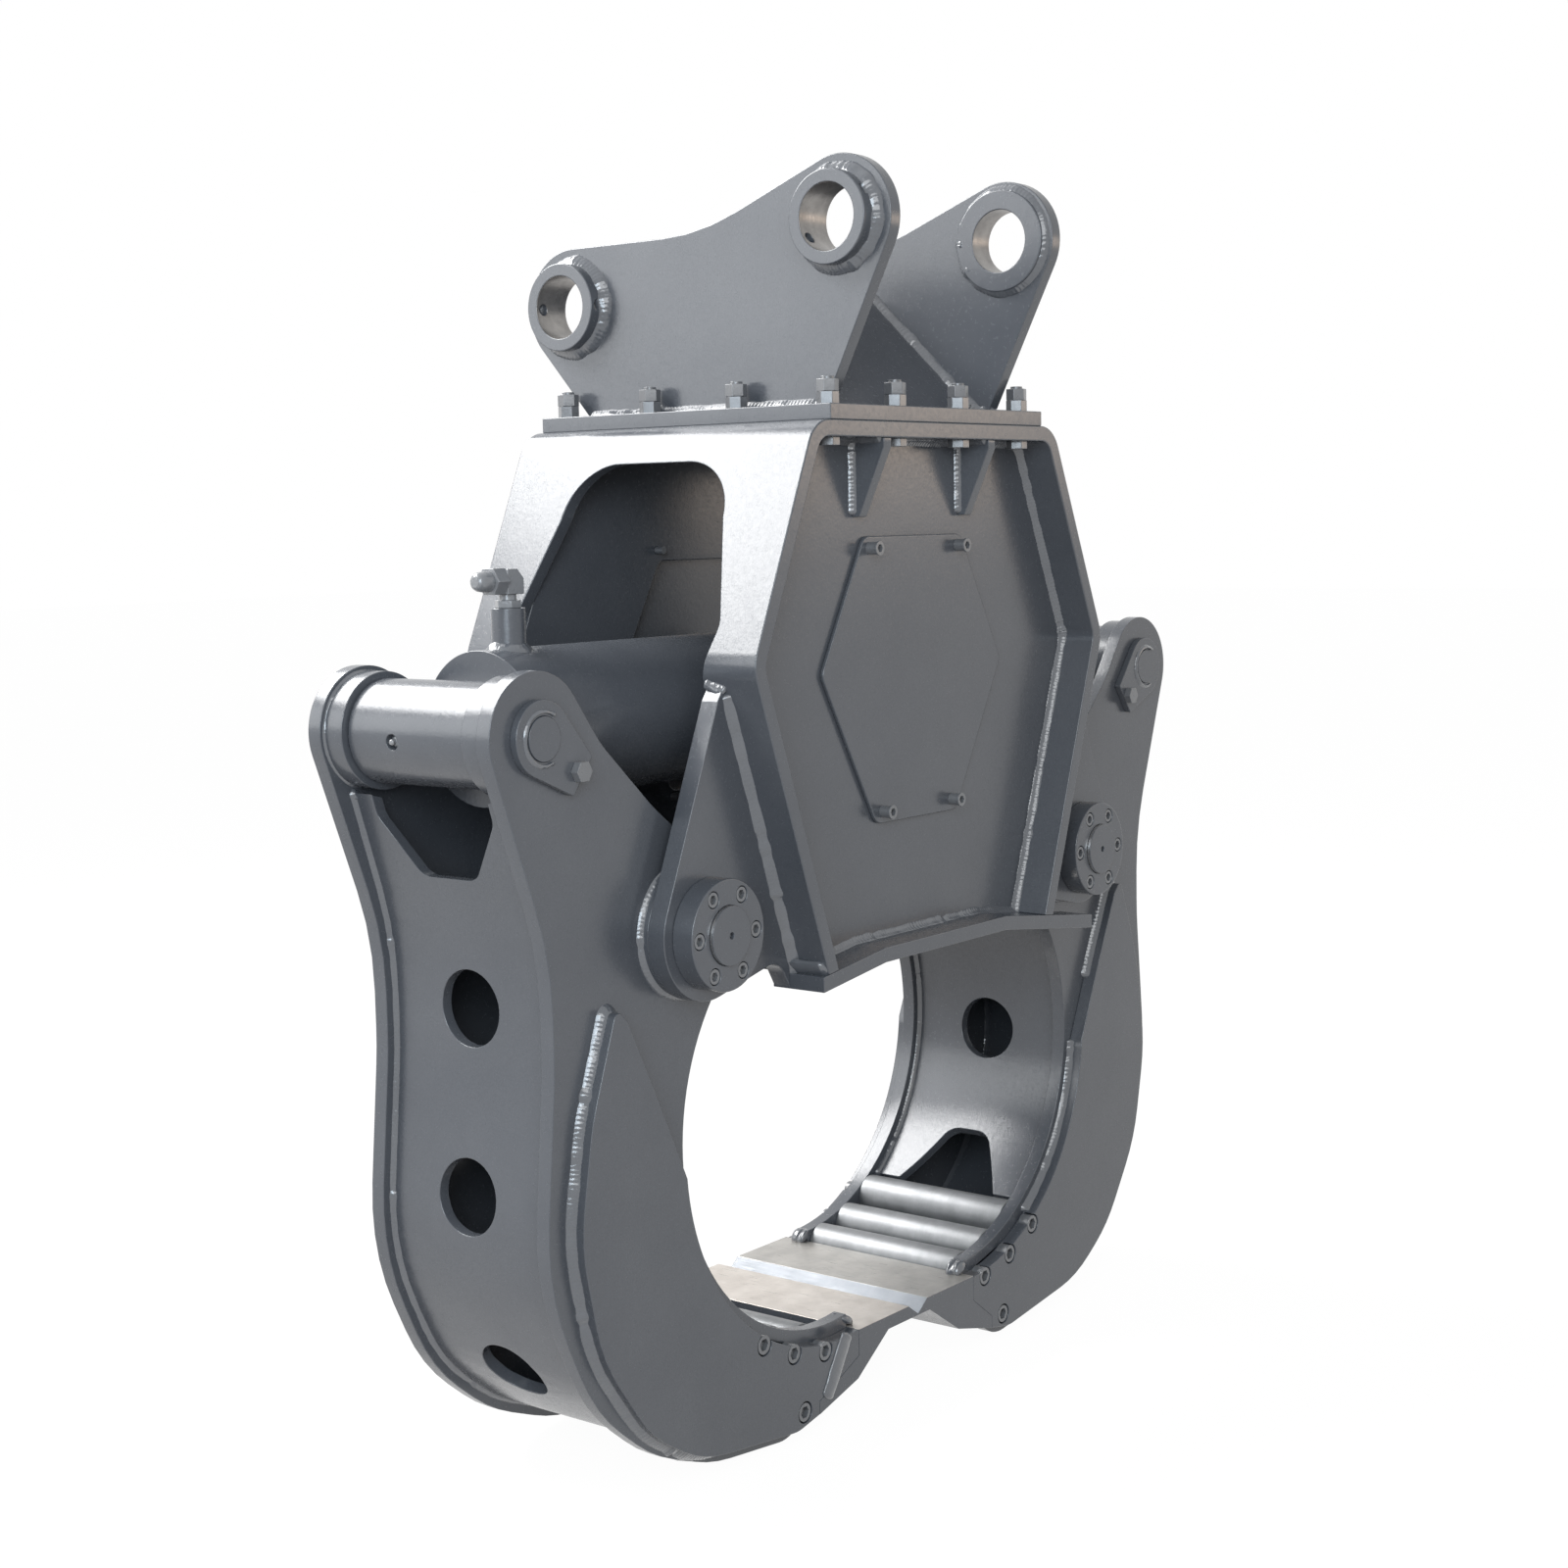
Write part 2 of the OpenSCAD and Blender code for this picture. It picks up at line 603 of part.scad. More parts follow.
// The inner skin is rolled to the mouth's curve, from the hub down to the first grip bar.
skin_r0 = mouth_r + skin_inset;
skin_r1 = skin_r0 + skin_t;
hub_dist = norm(hub - mouth);
hub_dir = atan2(hub[1] - mouth[1], hub[0] - mouth[0]);
skin_a1 = hub_dir - acos(min(1, (hub_dist * hub_dist + skin_r1 * skin_r1 - pow(hub_tube_r + 0.2, 2))
    / (2 * hub_dist * skin_r1)));
bar_dir = atan2(bar_at[0][1] - mouth[1], bar_at[0][0] - mouth[0]);
skin_a0 = bar_dir + (bar_d / 2 + 3) / skin_r0 * 180 / PI;
arch_dir = -44;
inner_hole_dir = -4.5;
module inner_skin() difference() {
    slab_y(-jaw_in, jaw_in) difference() {
        translate(mouth) circle(r = skin_r1);
        translate(mouth) circle(r = skin_r0);
        translate(mouth) polygon(concat([[0, 0]],
            [for (k = [0:4]) polar(2 * skin_r1, skin_a1 + (360 + skin_a0 - skin_a1) * k / 4)]));
    }
    translate([mouth[0], 0, mouth[1]]) rotate([0, -arch_dir, 0]) slab_x(skin_r0 - 60, skin_r1 + 60)
        polygon(rounded([[-96, -70, 0], [-32, 51, 30], [32, 51, 30], [96, -70, 0]]));
    translate([mouth[0], 0, mouth[1]]) rotate([0, -inner_hole_dir, 0])
        bar_x([0, 0], hand_hole_d / 2, skin_r0 - 40, skin_r1 + 40);
}

// A jaw turns on two bushes in its hub, between wear discs.
module hub_parts() difference() {
    union() {
        bar_y(hub, hub_tube_r, -jaw_in, jaw_in);
        front_and_rear() bar_y(hub, wear_r, -wear_y, -jaw_y);
    }
    bar_y(hub, jaw_pin_d / 2 + bush_t + seat, -wear_y - past, wear_y + past);
}
bush_l = 80;
module hub_bushes() front_and_rear() difference() {
    bar_y(hub, jaw_pin_d / 2 + bush_t, -wear_y, -wear_y + bush_l);
    bar_y(hub, jaw_pin_d / 2 + run, -wear_y - past, -wear_y + bush_l + past);
}

screw_grip = 45;
module grip_bars() {
    for (p = bar_at) bar_with_threads(p, bar_d);
    bar_with_threads(tie_at, tie_d);
}
module bar_with_threads(p, d) difference() {
    bar_y(p, d / 2, -jaw_in, jaw_in);
    front_and_rear() bar_y(p, bar_screw_d / 2 + seat, -jaw_in - past, -jaw_in + screw_grip);
}
module bar_screws() front_and_rear() for (p = concat(bar_at, [tie_at])) difference() {
    seat_y = -jaw_y - 3;
    union() {
        bar_y(p, bar_head_d / 2, seat_y - bar_screw_d, seat_y);
        bar_y(p, bar_screw_d / 2, seat_y, -jaw_in + screw_grip - 5);
    }
    translate([p[0], seat_y - bar_screw_d + 9, p[1]]) rotate([90, 0, 0]) hex(14, 10);
}

module blade(s) slab_y(-doubler_y, doubler_y) {
    top = -blade_drop;
    edge = top - bevel_h;
    polygon([[edge_x(s), edge], [crest_x(s), top], [blade_back(s), top], [blade_back(s), blade_back_z],
        heel_top, heel, [117, -630], [48, edge - edge_t], [edge_x(s), edge - edge_t]]);
}

// Collars carry the cylinder pin between the side plates; the pin's rear end sits in a ring.
collar_gap = 2;
tube_y = jaw_in - eye_collar_l - collar_gap;
eye_boss_r = 68;
rear_ring_r = 42;
rear_ring_t = 12;
module eye_collars() difference() {
    union() {
        front_and_rear() bar_y(eye, eye_boss_r, -jaw_in, -tube_y - collar_gap);
        bar_y(eye, rear_ring_r, jaw_y, jaw_y + rear_ring_t);
    }
    bar_y(eye, eye_pin_d / 2 + seat, -jaw_in - past, jaw_y + rear_ring_t + past);
}

// The keeper is welded to the pin's front end and bolted to the side plate.
keeper_t = 10;
keeper_r = 43;
keeper_stub_r = 25;
keeper_bolt_at = eye + [-53, -40];
keeper_half_w = 26;
module keeper_profile() {
    out = unit(keeper_bolt_at - eye);
    tip = keeper_bolt_at + 10 * out;
    across = keeper_half_w * [out[1], -out[0]];
    polygon(rounded(concat(wrapped(eye, keeper_r, tip + across, tip - across),
        [concat(tip - across, 3), concat(tip + across, 3)])));
}
module eye_pin() {
    bar_y(eye, eye_pin_d / 2, -jaw_y, jaw_y + rear_ring_t);
    bar_y(eye, keeper_stub_r, -jaw_y - keeper_t - 1.5, -jaw_y);
}
module pin_keeper() difference() {
    slab_y(-jaw_y - keeper_t, -jaw_y) keeper_profile();
    bar_y(eye, keeper_stub_r + seat, -jaw_y - keeper_t - past, -jaw_y + past);
    bar_y(keeper_bolt_at, 8 + seat, -jaw_y - keeper_t - past, -jaw_y + past);
}
module keeper_bolt() {
    face = -jaw_y - keeper_t;
    bar_y(keeper_bolt_at, 8, face, -jaw_in - 2);
    translate([keeper_bolt_at[0], face, keeper_bolt_at[1]]) rotate([90, 0, 0]) hex(22, 10);
}

module left_side_plates() color(paint) lifted() side_plates(-1);
module right_side_plates() color(paint) lifted() side_plates(1);
module left_doublers() color(paint) lifted() doublers(-1);
module right_doublers() color(paint) lifted() doublers(1);
module left_outer_skin() color(paint) lifted() on_side(-1) outer_skin();
module right_outer_skin() color(paint) lifted() on_side(1) outer_skin();
module left_inner_skin() color(paint) lifted() on_side(-1) inner_skin();
module right_inner_skin() color(paint) lifted() on_side(1) inner_skin();
module left_hub() color(paint_dark) lifted() on_side(-1) hub_parts();
module right_hub() color(paint_dark) lifted() on_side(1) hub_parts();
module left_hub_bushes() color(bronze) lifted() on_side(-1) hub_bushes();
module right_hub_bushes() color(bronze) lifted() on_side(1) hub_bushes();
module left_grip_bars() color(steel) lifted() on_side(-1) grip_bars();
module right_grip_bars() color(steel) lifted() on_side(1) grip_bars();
module left_bar_screws() color(zinc) lifted() on_side(-1) bar_screws();
module right_bar_screws() color(zinc) lifted() on_side(1) bar_screws();
module left_blade() color(steel) lifted() on_side(-1) blade(-1);
module right_blade() color(steel) lifted() on_side(1) blade(1);
module left_eye_collars() color(paint_dark) lifted() on_side(-1) eye_collars();
module right_eye_collars() color(paint_dark) lifted() on_side(1) eye_collars();
module left_eye_pin() color(steel) lifted() on_side(-1) eye_pin();
module right_eye_pin() color(steel) lifted() on_side(1) eye_pin();
module left_pin_keeper() color(paint) lifted() on_side(-1) pin_keeper();
module right_pin_keeper() color(paint) lifted() on_side(1) pin_keeper();
module left_keeper_bolt() color(zinc) lifted() on_side(-1) keeper_bolt();
module right_keeper_bolt() color(zinc) lifted() on_side(1) keeper_bolt();

// CYLINDER

eye_bush_t = 6;
eye_bush_l = 60;
barrel_x0 = -eye_span / 2 + tube_d / 2 - 3;
barrel_x1 = barrel_x0 + barrel_l;
end_wall = 30;
gland_nose = 80;
gland_lip = 20;
port_x = [barrel_x0 + 51, barrel_x1 - gland_lip - gland_nose - 4];
port_d = 14;
stub_top = barrel_d / 2 + 46;
axis = [0, eye_z];

module cross_tube(s) on_side(s) difference() {
    bar_y(eye, tube_d / 2, -tube_y, tube_y);
    bar_y(eye, eye_pin_d / 2 + eye_bush_t + seat, -tube_y - past, tube_y + past);
    at_nipple() cylinder(d = nipple_pocket_d, h = nipple_sink + past);
    at_nipple() translate([0, 0, nipple_sink - tube_d / 2]) cylinder(r = 3, h = tube_d / 2);
}
// The grease nipple stands in a pocket of the cross tube, off its middle and a little low.
nipple_pocket_d = 18;
nipple_sink = 10;
module at_nipple() translate([eye[0], 22, eye[1]]) rotate([0, 90 + 5.4, 0])
    translate([0, 0, tube_d / 2 - nipple_sink]) children();
module eye_bushes(s) on_side(s) front_and_rear() difference() {
    bar_y(eye, eye_pin_d / 2 + eye_bush_t, -tube_y, -tube_y + eye_bush_l);
    bar_y(eye, eye_pin_d / 2 + run, -tube_y - past, -tube_y + eye_bush_l + past);
}
module grease_nipple(s) on_side(s) at_nipple() rotate_extrude()
    polygon([[0, -6], [3 - seat, -6], [3 - seat, 0], [5.5, 0], [5.5, 4], [3, 5], [2.4, 7], [3.4, 9], [3.4, 10],
        [2, 12], [0, 12]]);
module barrel_eye() color(paint) lifted() cross_tube(-1);
module rod_eye() color(paint) lifted() cross_tube(1);
module barrel_bushes() color(bronze) lifted() eye_bushes(-1);
module rod_bushes() color(bronze) lifted() eye_bushes(1);
module barrel_nipple() color(zinc) lifted() grease_nipple(-1);
module rod_nipple() color(zinc) lifted() grease_nipple(1);

module cylinder_barrel() color(paint) lifted() difference() {
    union() {
        bar_x(axis, barrel_d / 2, barrel_x0, barrel_x1 - gland_lip);
        for (x = port_x) translate([x, 0, eye_z]) cylinder(d = stub_d, h = stub_top);
    }
    bar_x(axis, bore_d / 2, barrel_x0 + end_wall, barrel_x1);
    mirror([1, 0, 0]) bar_y(eye, tube_d / 2 + seat, -half_d, half_d);
    for (x = port_x) translate([x, 0, eye_z]) cylinder(d = port_d, h = stub_top + past);
}

gland_bolt_n = 8;
module cylinder_gland() color(paint_dark) lifted() difference() {
    union() {
        bar_x(axis, bore_d / 2 - seat, barrel_x1 - gland_lip - gland_nose, barrel_x1 - gland_lip);
        bar_x(axis, barrel_d / 2, barrel_x1 - gland_lip, barrel_x1);
    }
    bar_x(axis, rod_d / 2 + run, barrel_x1 - gland_lip - gland_nose - past, barrel_x1 + past);
    for (x = gland_seal_x) bar_x(axis, rod_d / 2 + seal_t + seat, x, x + seal_w);
    for (i = [0:gland_bolt_n - 1])
        translate([barrel_x1 + past, 0, eye_z]) rotate([i * 360 / gland_bolt_n, 0, 0])
            translate([0, 0, (bore_d + barrel_d) / 4]) rotate([0, -90, 0]) cylinder(d = 8, h = 12);
}
seal_t = 6;
seal_w = 9;
gland_seal_x = [barrel_x1 - 12, barrel_x1 - 45, barrel_x1 - 75];
module gland_seals() color(seal_black) lifted() for (x = gland_seal_x) difference() {
    bar_x(axis, rod_d / 2 + seal_t, x + seat, x + seal_w - seat);
    bar_x(axis, rod_d / 2 + run, x - past, x + seal_w + past);
}

piston_l = 60;
piston_room = 60;
piston_x = barrel_x1 - gland_lip - gland_nose - piston_room - piston_l;
spigot_d = 56;
piston_seal_x = [piston_x + 12, piston_x + 38];
module piston_rod() color(chrome) lifted() difference() {
    union() {
        bar_x(axis, spigot_d / 2, piston_x, piston_x + piston_l);
        bar_x(axis, rod_d / 2, piston_x + piston_l, eye[0] - tube_d / 2 + 20);
    }
    bar_y(eye, tube_d / 2 + seat, -half_d, half_d);
}
module piston() color(steel) lifted() difference() {
    bar_x(axis, bore_d / 2 - run, piston_x, piston_x + piston_l);
    bar_x(axis, spigot_d / 2 + seat, piston_x - past, piston_x + piston_l + past);
    for (x = piston_seal_x) difference() {
        bar_x(axis, bore_d / 2 + past, x, x + seal_w);
        bar_x(axis, bore_d / 2 - seal_t - seat, x - past, x + seal_w + past);
    }
}
module piston_seals() color(seal_black) lifted() for (x = piston_seal_x) difference() {
    bar_x(axis, bore_d / 2 - run, x + seat, x + seal_w - seat);
    bar_x(axis, bore_d / 2 - seal_t, x - past, x + seal_w + past);
}

// Each port has a hexagon adapter, a forged elbow that turns to the left and a plug in its nut.
fitting_af = 27;
adapter_h = 9;
neck_h = 7;
elbow_r = 14;
elbow_leg = 12;
nut_af = 30;
nut_l = 19;
plug_l = 22;
fitting_z = eye_z + stub_top;
elbow_z = fitting_z + adapter_h + neck_h + elbow_r;
module port_adapters() color(zinc) lifted() for (x = port_x) translate([x, 0, fitting_z]) {
    translate([0, 0, -20]) cylinder(d = port_d - 2 * seat, h = 20);
    hex(fitting_af, adapter_h);
    cylinder(d = 20, h = adapter_h + neck_h);
}
module elbow_fittings() color(zinc) lifted() for (x = port_x) translate([x, 0, elbow_z]) {
    slab_y(-elbow_r + 1, elbow_r - 1) polygon([[-elbow_leg, -elbow_r], [elbow_r, -elbow_r], [elbow_r, 4],
        [elbow_r - 10, elbow_r + 1], [-elbow_leg, elbow_r + 1]]);
    translate([-elbow_leg, 0, 1]) rotate([0, -90, 0]) rotate([0, 0, 30]) hex(nut_af, nut_l);
}
module port_plugs() color(paint_dark) lifted() for (x = port_x)
    translate([x - elbow_leg - nut_l, 0, elbow_z + 1]) rotate([0, -90, 0]) rotate_extrude()
        polygon([[0, 0], [11.7, 0], [11.7, plug_l - 12], [11, plug_l - 6], [9, plug_l - 2], [6, plug_l],
            [0, plug_l]]);

hood_strap();
front_plate();
rear_plate();
inspection_covers();
cover_screws();
flange_gussets();
bottom_plate();
left_pivot_plates();
right_pivot_plates();
bracket_foot_plate();
left_ear();
right_ear();
ear_web();
ear_bosses();
bracket_bolts();
bracket_nuts();
jaw_pins();
pin_caps();
cap_screws();
left_side_plates();
left_doublers();
left_outer_skin();
left_inner_skin();
left_hub();
left_hub_bushes();
left_grip_bars();
left_bar_screws();
left_blade();
left_eye_collars();
left_eye_pin();
left_pin_keeper();
left_keeper_bolt();
right_side_plates();
right_doublers();
right_outer_skin();
right_inner_skin();
right_hub();
right_hub_bushes();
right_grip_bars();
right_bar_screws();
right_blade();
right_eye_collars();
right_eye_pin();
right_pin_keeper();
right_keeper_bolt();
cylinder_barrel();
barrel_eye();
barrel_bushes();
barrel_nipple();
cylinder_gland();
gland_seals();
port_adapters();
elbow_fittings();
port_plugs();
piston_rod();
piston();
piston_seals();
rod_eye();
rod_bushes();
rod_nipple();
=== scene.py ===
import json
import math

import bmesh
import bpy
import numpy as np
from mathutils import Euler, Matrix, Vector


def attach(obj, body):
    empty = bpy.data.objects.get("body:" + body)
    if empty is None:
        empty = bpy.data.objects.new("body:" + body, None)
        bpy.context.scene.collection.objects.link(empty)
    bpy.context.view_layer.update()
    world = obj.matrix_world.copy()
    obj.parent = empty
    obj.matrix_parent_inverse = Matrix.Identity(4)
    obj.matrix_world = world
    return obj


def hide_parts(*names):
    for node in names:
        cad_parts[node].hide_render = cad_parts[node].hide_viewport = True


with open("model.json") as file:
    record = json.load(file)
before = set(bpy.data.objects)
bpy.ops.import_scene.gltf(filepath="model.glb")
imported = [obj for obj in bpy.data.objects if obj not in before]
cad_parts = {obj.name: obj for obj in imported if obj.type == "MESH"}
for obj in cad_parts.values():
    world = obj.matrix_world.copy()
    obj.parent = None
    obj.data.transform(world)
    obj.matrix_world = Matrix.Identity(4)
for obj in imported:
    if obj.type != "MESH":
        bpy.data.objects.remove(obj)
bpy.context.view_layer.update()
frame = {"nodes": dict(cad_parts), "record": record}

# HOOD
# A strap of 20 mm steel plate folded over four bends, with a front and a rear plate set into it
# and a folded bottom plate. All of it is welded up and then sprayed with one thick coat of grey
# semi-gloss enamel, which lies in a fine orange peel and rounds every cut edge.

# Height of the jaw pins over the ground, in metres; places are given in millimetres from there.
pin_h = 0.674842


def place(points):
    """Points in millimetres from the jaw pins' height, as metres from the ground."""
    return np.asarray(points, float) * 0.001 + np.array([0.0, 0.0, pin_h])


def enamel_film():
    """Node group: the film of a sprayed coat, as a height and two masks.
    Height = a peel of 3.2 mm cells + Swell times a slow wave of 28 mm. Cloud and Fine are noises of
    120 mm and 6 mm."""
    group = bpy.data.node_groups.new("enamel film", "ShaderNodeTree")
    group.interface.new_socket("Place", in_out="INPUT", socket_type="NodeSocketVector")
    group.interface.new_socket("Swell", in_out="INPUT", socket_type="NodeSocketFloat")
    for socket in ("Height", "Cloud", "Fine"):
        group.interface.new_socket(socket, in_out="OUTPUT", socket_type="NodeSocketFloat")
    node, link = group.nodes.new, group.links.new
    start, end = node("NodeGroupInput"), node("NodeGroupOutput")

    def noise(size, detail, rough):
        """The value of a noise whose cells are size metres wide."""
        n = node("ShaderNodeTexNoise")
        n.inputs["Scale"].default_value = 1 / size
        n.inputs["Detail"].default_value = detail
        n.inputs["Roughness"].default_value = rough
        link(start.outputs["Place"], n.inputs["Vector"])
        return n.outputs["Fac"]

    height = node("ShaderNodeMath")
    height.operation = "MULTIPLY_ADD"
    link(noise(0.028, 2.0, 0.5), height.inputs[0])
    link(start.outputs["Swell"], height.inputs[1])
    link(noise(0.0032, 0.5, 0.5), height.inputs[2])
    link(height.outputs[0], end.inputs["Height"])
    link(noise(0.12, 3.0, 0.6), end.inputs["Cloud"])
    link(noise(0.006, 4.0, 0.7), end.inputs["Fine"])
    return group


film = enamel_film()


def graded(tree, value, points):
    """A Color Ramp from a mask to colours or greys: points are (position in the mask, colour)."""
    ramp = tree.nodes.new("ShaderNodeValToRGB")
    for i, (at, colour) in enumerate(points):
        stop = ramp.color_ramp.elements[i] if i < 2 else ramp.color_ramp.elements.new(at)
        stop.position = at
        stop.color = (*colour, 1) if isinstance(colour, tuple) else (colour, colour, colour, 1)
    tree.links.new(value, ramp.inputs["Fac"])
    return ramp.outputs["Color"]


def enamel(name, low, high, rough, peel, swell=2.0, coat=0.0):
    """Sprayed enamel: low and high are its darker and lighter tone, peel is the bump's strength, swell
    the share of the slow wave in it, and coat how wet the film looks."""
    material = bpy.data.materials.new(name)
    material.use_nodes = True
    tree = material.node_tree
    shader = tree.nodes["Principled BSDF"]
    coords = tree.nodes.new("ShaderNodeTexCoord")
    coating = tree.nodes.new("ShaderNodeGroup")
    coating.node_tree = film
    coating.inputs["Swell"].default_value = swell
    link = tree.links.new
    link(coords.outputs["Object"], coating.inputs["Place"])
    tone = graded(tree, coating.outputs["Cloud"], [(0.3, low), (0.7, high)])
    link(tone, shader.inputs["Base Color"])
    dullness = graded(tree, coating.outputs["Fine"], [(0.3, rough - 0.05), (0.72, rough + 0.06)])
    link(dullness, shader.inputs["Roughness"])
    bump = tree.nodes.new("ShaderNodeBump")
    bump.inputs["Strength"].default_value = peel
    bump.inputs["Distance"].default_value = 0.0006
    link(coating.outputs["Height"], bump.inputs["Height"])
    link(bump.outputs["Normal"], shader.inputs["Normal"])
    shader.inputs["IOR"].default_value = 1.6
    shader.inputs["Coat Weight"].default_value = coat
    shader.inputs["Coat Roughness"].default_value = 0.12
    return material


grey_paint = enamel("grey enamel", (0.070, 0.076, 0.087), (0.083, 0.089, 0.100), 0.24, 0.11)

# The body that each CAD node rides on, from the part's record.
body_of = {n: b for b, ns in frame["record"]["behaviour"]["bodies"].items() for n in ns}


def prism(name, corners, axis, low, high):
    """A straight solid: a closed outline in millimetres, carried along axis from low to high."""
    corners = np.asarray(corners, float)
    n = len(corners)
    points = np.insert(np.vstack([corners, corners]), axis, np.repeat([low, high], n), axis=1)
    i = np.arange(n)
    walls = np.stack([i, (i + 1) % n, (i + 1) % n + n, i + n], 1)
    mesh = bpy.data.meshes.new(name)
    mesh.from_pydata(place(points).tolist(), [], [i[::-1].tolist(), (i + n).tolist(), *walls.tolist()])
    work = bmesh.new()
    work.from_mesh(mesh)
    bmesh.ops.recalc_face_normals(work, faces=work.faces)
    work.to_mesh(mesh)
    work.free()
    return mesh


def carved(mesh, tool):
    """The mesh less the closed solid tool."""
    both = [bpy.data.objects.new("carving", m) for m in (mesh, tool)]
    for thing in both:
        bpy.context.scene.collection.objects.link(thing)
    cut = both[0].modifiers.new("cut", "BOOLEAN")
    cut.object = both[1]
    cut.operation = "DIFFERENCE"
    cut.solver = "EXACT"
    left = bpy.data.meshes.new_from_object(both[0].evaluated_get(bpy.context.evaluated_depsgraph_get()))
    for thing in both:
        bpy.data.objects.remove(thing)
    return left


def finished(node, materials, edge=1.2, pick=None, tool=None):
    """A copy of a CAD node with its cut edges rounded by edge millimetres, as paint rounds them.
    pick(x, y, z, n) gives each face's number in materials from its middle, in millimetres, and normal.
    tool is a closed solid that is cut away first."""
    mesh = frame["nodes"][node].data.copy()
    merged, flat, turn, smooth = 2e-6, math.radians(0.4), math.radians(28), math.radians(38)
    work = bmesh.new()
    work.from_mesh(mesh)
    bmesh.ops.remove_doubles(work, verts=work.verts, dist=merged)
    if tool:
        work.to_mesh(mesh)
        mesh = carved(mesh, tool)
        work.clear()
        work.from_mesh(mesh)
        bmesh.ops.remove_doubles(work, verts=work.verts, dist=merged)
    bmesh.ops.dissolve_limit(work, angle_limit=flat, verts=work.verts, edges=work.edges)
    sharp = [e for e in work.edges if len(e.link_faces) == 2 and e.calc_face_angle(0) > turn]
    bmesh.ops.bevel(work, geom=sharp, offset=edge * 0.001, segments=2, profile=0.5, affect="EDGES",
                    clamp_overlap=False)
    work.to_mesh(mesh)
    work.free()
    piece = bpy.data.objects.new("dressed_" + node, mesh)
    bpy.context.scene.collection.objects.link(piece)
    mesh.materials.clear()
    for material in materials:
        mesh.materials.append(material)
    number = np.zeros(len(mesh.polygons), np.int32)
    if pick:
        middle = np.empty(len(mesh.polygons) * 3)
        mesh.polygons.foreach_get("center", middle)
        facing = np.empty_like(middle)
        mesh.polygons.foreach_get("normal", facing)
        x, y, z = (middle.reshape(-1, 3) - [0, 0, pin_h]).T * 1000
        number[:] = pick(x, y, z, facing.reshape(-1, 3).T)
    mesh.polygons.foreach_set("material_index", number)
    mesh.polygons.foreach_set("use_smooth", np.ones(len(mesh.polygons), bool))
    mesh.set_sharp_from_angle(angle=smooth)
    piece.modifiers.new("weigh", "WEIGHTED_NORMAL").keep_sharp = True
    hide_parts(node)
    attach(piece, body_of[node])
    return piece


for node in ("front_plate", "rear_plate"):
    finished(node, [grey_paint])

# The arches in the strap are flame cut to a full round at both shoulders. The bottom plate's left
# end is cut back behind the pivot plates.
arch_foot, arch_hip, arch_flat, arch_top, past_walls = (160.0, 372.0), (130.0, 478.0), 56.0, 547.2, 420
quarter = np.radians(np.linspace(0, 90, 16))
shoulder = np.stack([arch_flat + (arch_hip[0] - arch_flat) * np.cos(quarter),
                     arch_hip[1] + (arch_top - arch_hip[1]) * np.sin(quarter)], 1)
half = np.vstack([arch_foot, shoulder])
arch = prism("arch", np.vstack([half, half[::-1] * [-1, 1]]), 0, -past_walls, past_walls)
finished("hood_strap", [grey_paint], 1.8, tool=arch)
cut_x, cut_y, cut_z = (-330, -214), (-155, 155), (-140, -40)
corners = [(cut_x[0], cut_y[0]), (cut_x[1], cut_y[0]), (cut_x[1], cut_y[1]), (cut_x[0], cut_y[1])]
finished("bottom_plate", [grey_paint], tool=prism("clearance", corners, 2, *cut_z))

# WELDS OF THE HOOD
# Fillet welds laid by hand in runs of 250 to 300 mm, with the scales of the moving pool, a small
# crater where each run restarts and the same coat of paint over them, which shines more there and is given
# a lighter tone there as a painted sheen.


def outline(node, axis, value):
    """The closed lines of a CAD node's flat face in the plane where coordinate axis = value, in
    millimetres, longest first. The face lies to the left of each line, seen from outside. A side that
    only one of the face's triangles has is part of a line."""
    mesh = frame["nodes"][node].data
    co = np.empty(len(mesh.vertices) * 3, np.float32)
    mesh.vertices.foreach_get("co", co)
    co = (co.reshape(-1, 3) - np.array([0, 0, pin_h])) * 1000
    corners, same = np.unique(np.round(co, 2), axis=0, return_inverse=True)
    vertex = np.empty(len(mesh.loops), np.int32)
    mesh.loops.foreach_get("vertex_index", vertex)
    tri = same.reshape(-1)[vertex].reshape(-1, 3)
    flat = np.abs(corners[:, axis] - value) < 0.05
    tri = tri[flat[tri].all(1)]
    after = {}
    sides = {(a, b) for t in tri for a, b in zip(t, np.roll(t, -1))}
    for a, b in sides:
        if (b, a) not in sides:
            after.setdefault(a, []).append(b)
    lines = []
    while after:
        start = next(iter(after))
        line = [start]
        while line[-1] in after:
            nexts = after[line[-1]]
            line.append(nexts.pop())
            if not nexts:
                del after[line[-2]]
            if line[-1] == start:
                break
        lines.append(corners[line])
    return sorted(lines, key=lambda l: -np.linalg.norm(np.diff(l, axis=0), axis=1).sum())


def stretch(line, keep):
    """The longest unbroken part of a closed line where keep(x, y, z) holds."""
    line = line[:-1]
    good = np.asarray(keep(*line.T), bool)
    if good.all():
        return np.vstack([line, line[:1]])
    line = np.roll(line, -int(np.argmin(good)), axis=0)
    good = np.roll(good, -int(np.argmin(good)))
    cuts = np.flatnonzero(np.diff(np.concatenate([[0], good.astype(int), [0]])))
    first, last = max(zip(cuts[::2], cuts[1::2]),
                      key=lambda c: np.linalg.norm(np.diff(line[c[0]:c[1]], axis=0), axis=1).sum())
    return line[first:last]


def evenly(line, step):
    """A line at even steps, with the distance run at each point."""
    far = np.concatenate([[0], np.cumsum(np.linalg.norm(np.diff(line, axis=0), axis=1))])
    at = np.linspace(0, far[-1], max(4, int(far[-1] / step)))
    return np.stack([np.interp(at, far, c) for c in line.T], 1), at


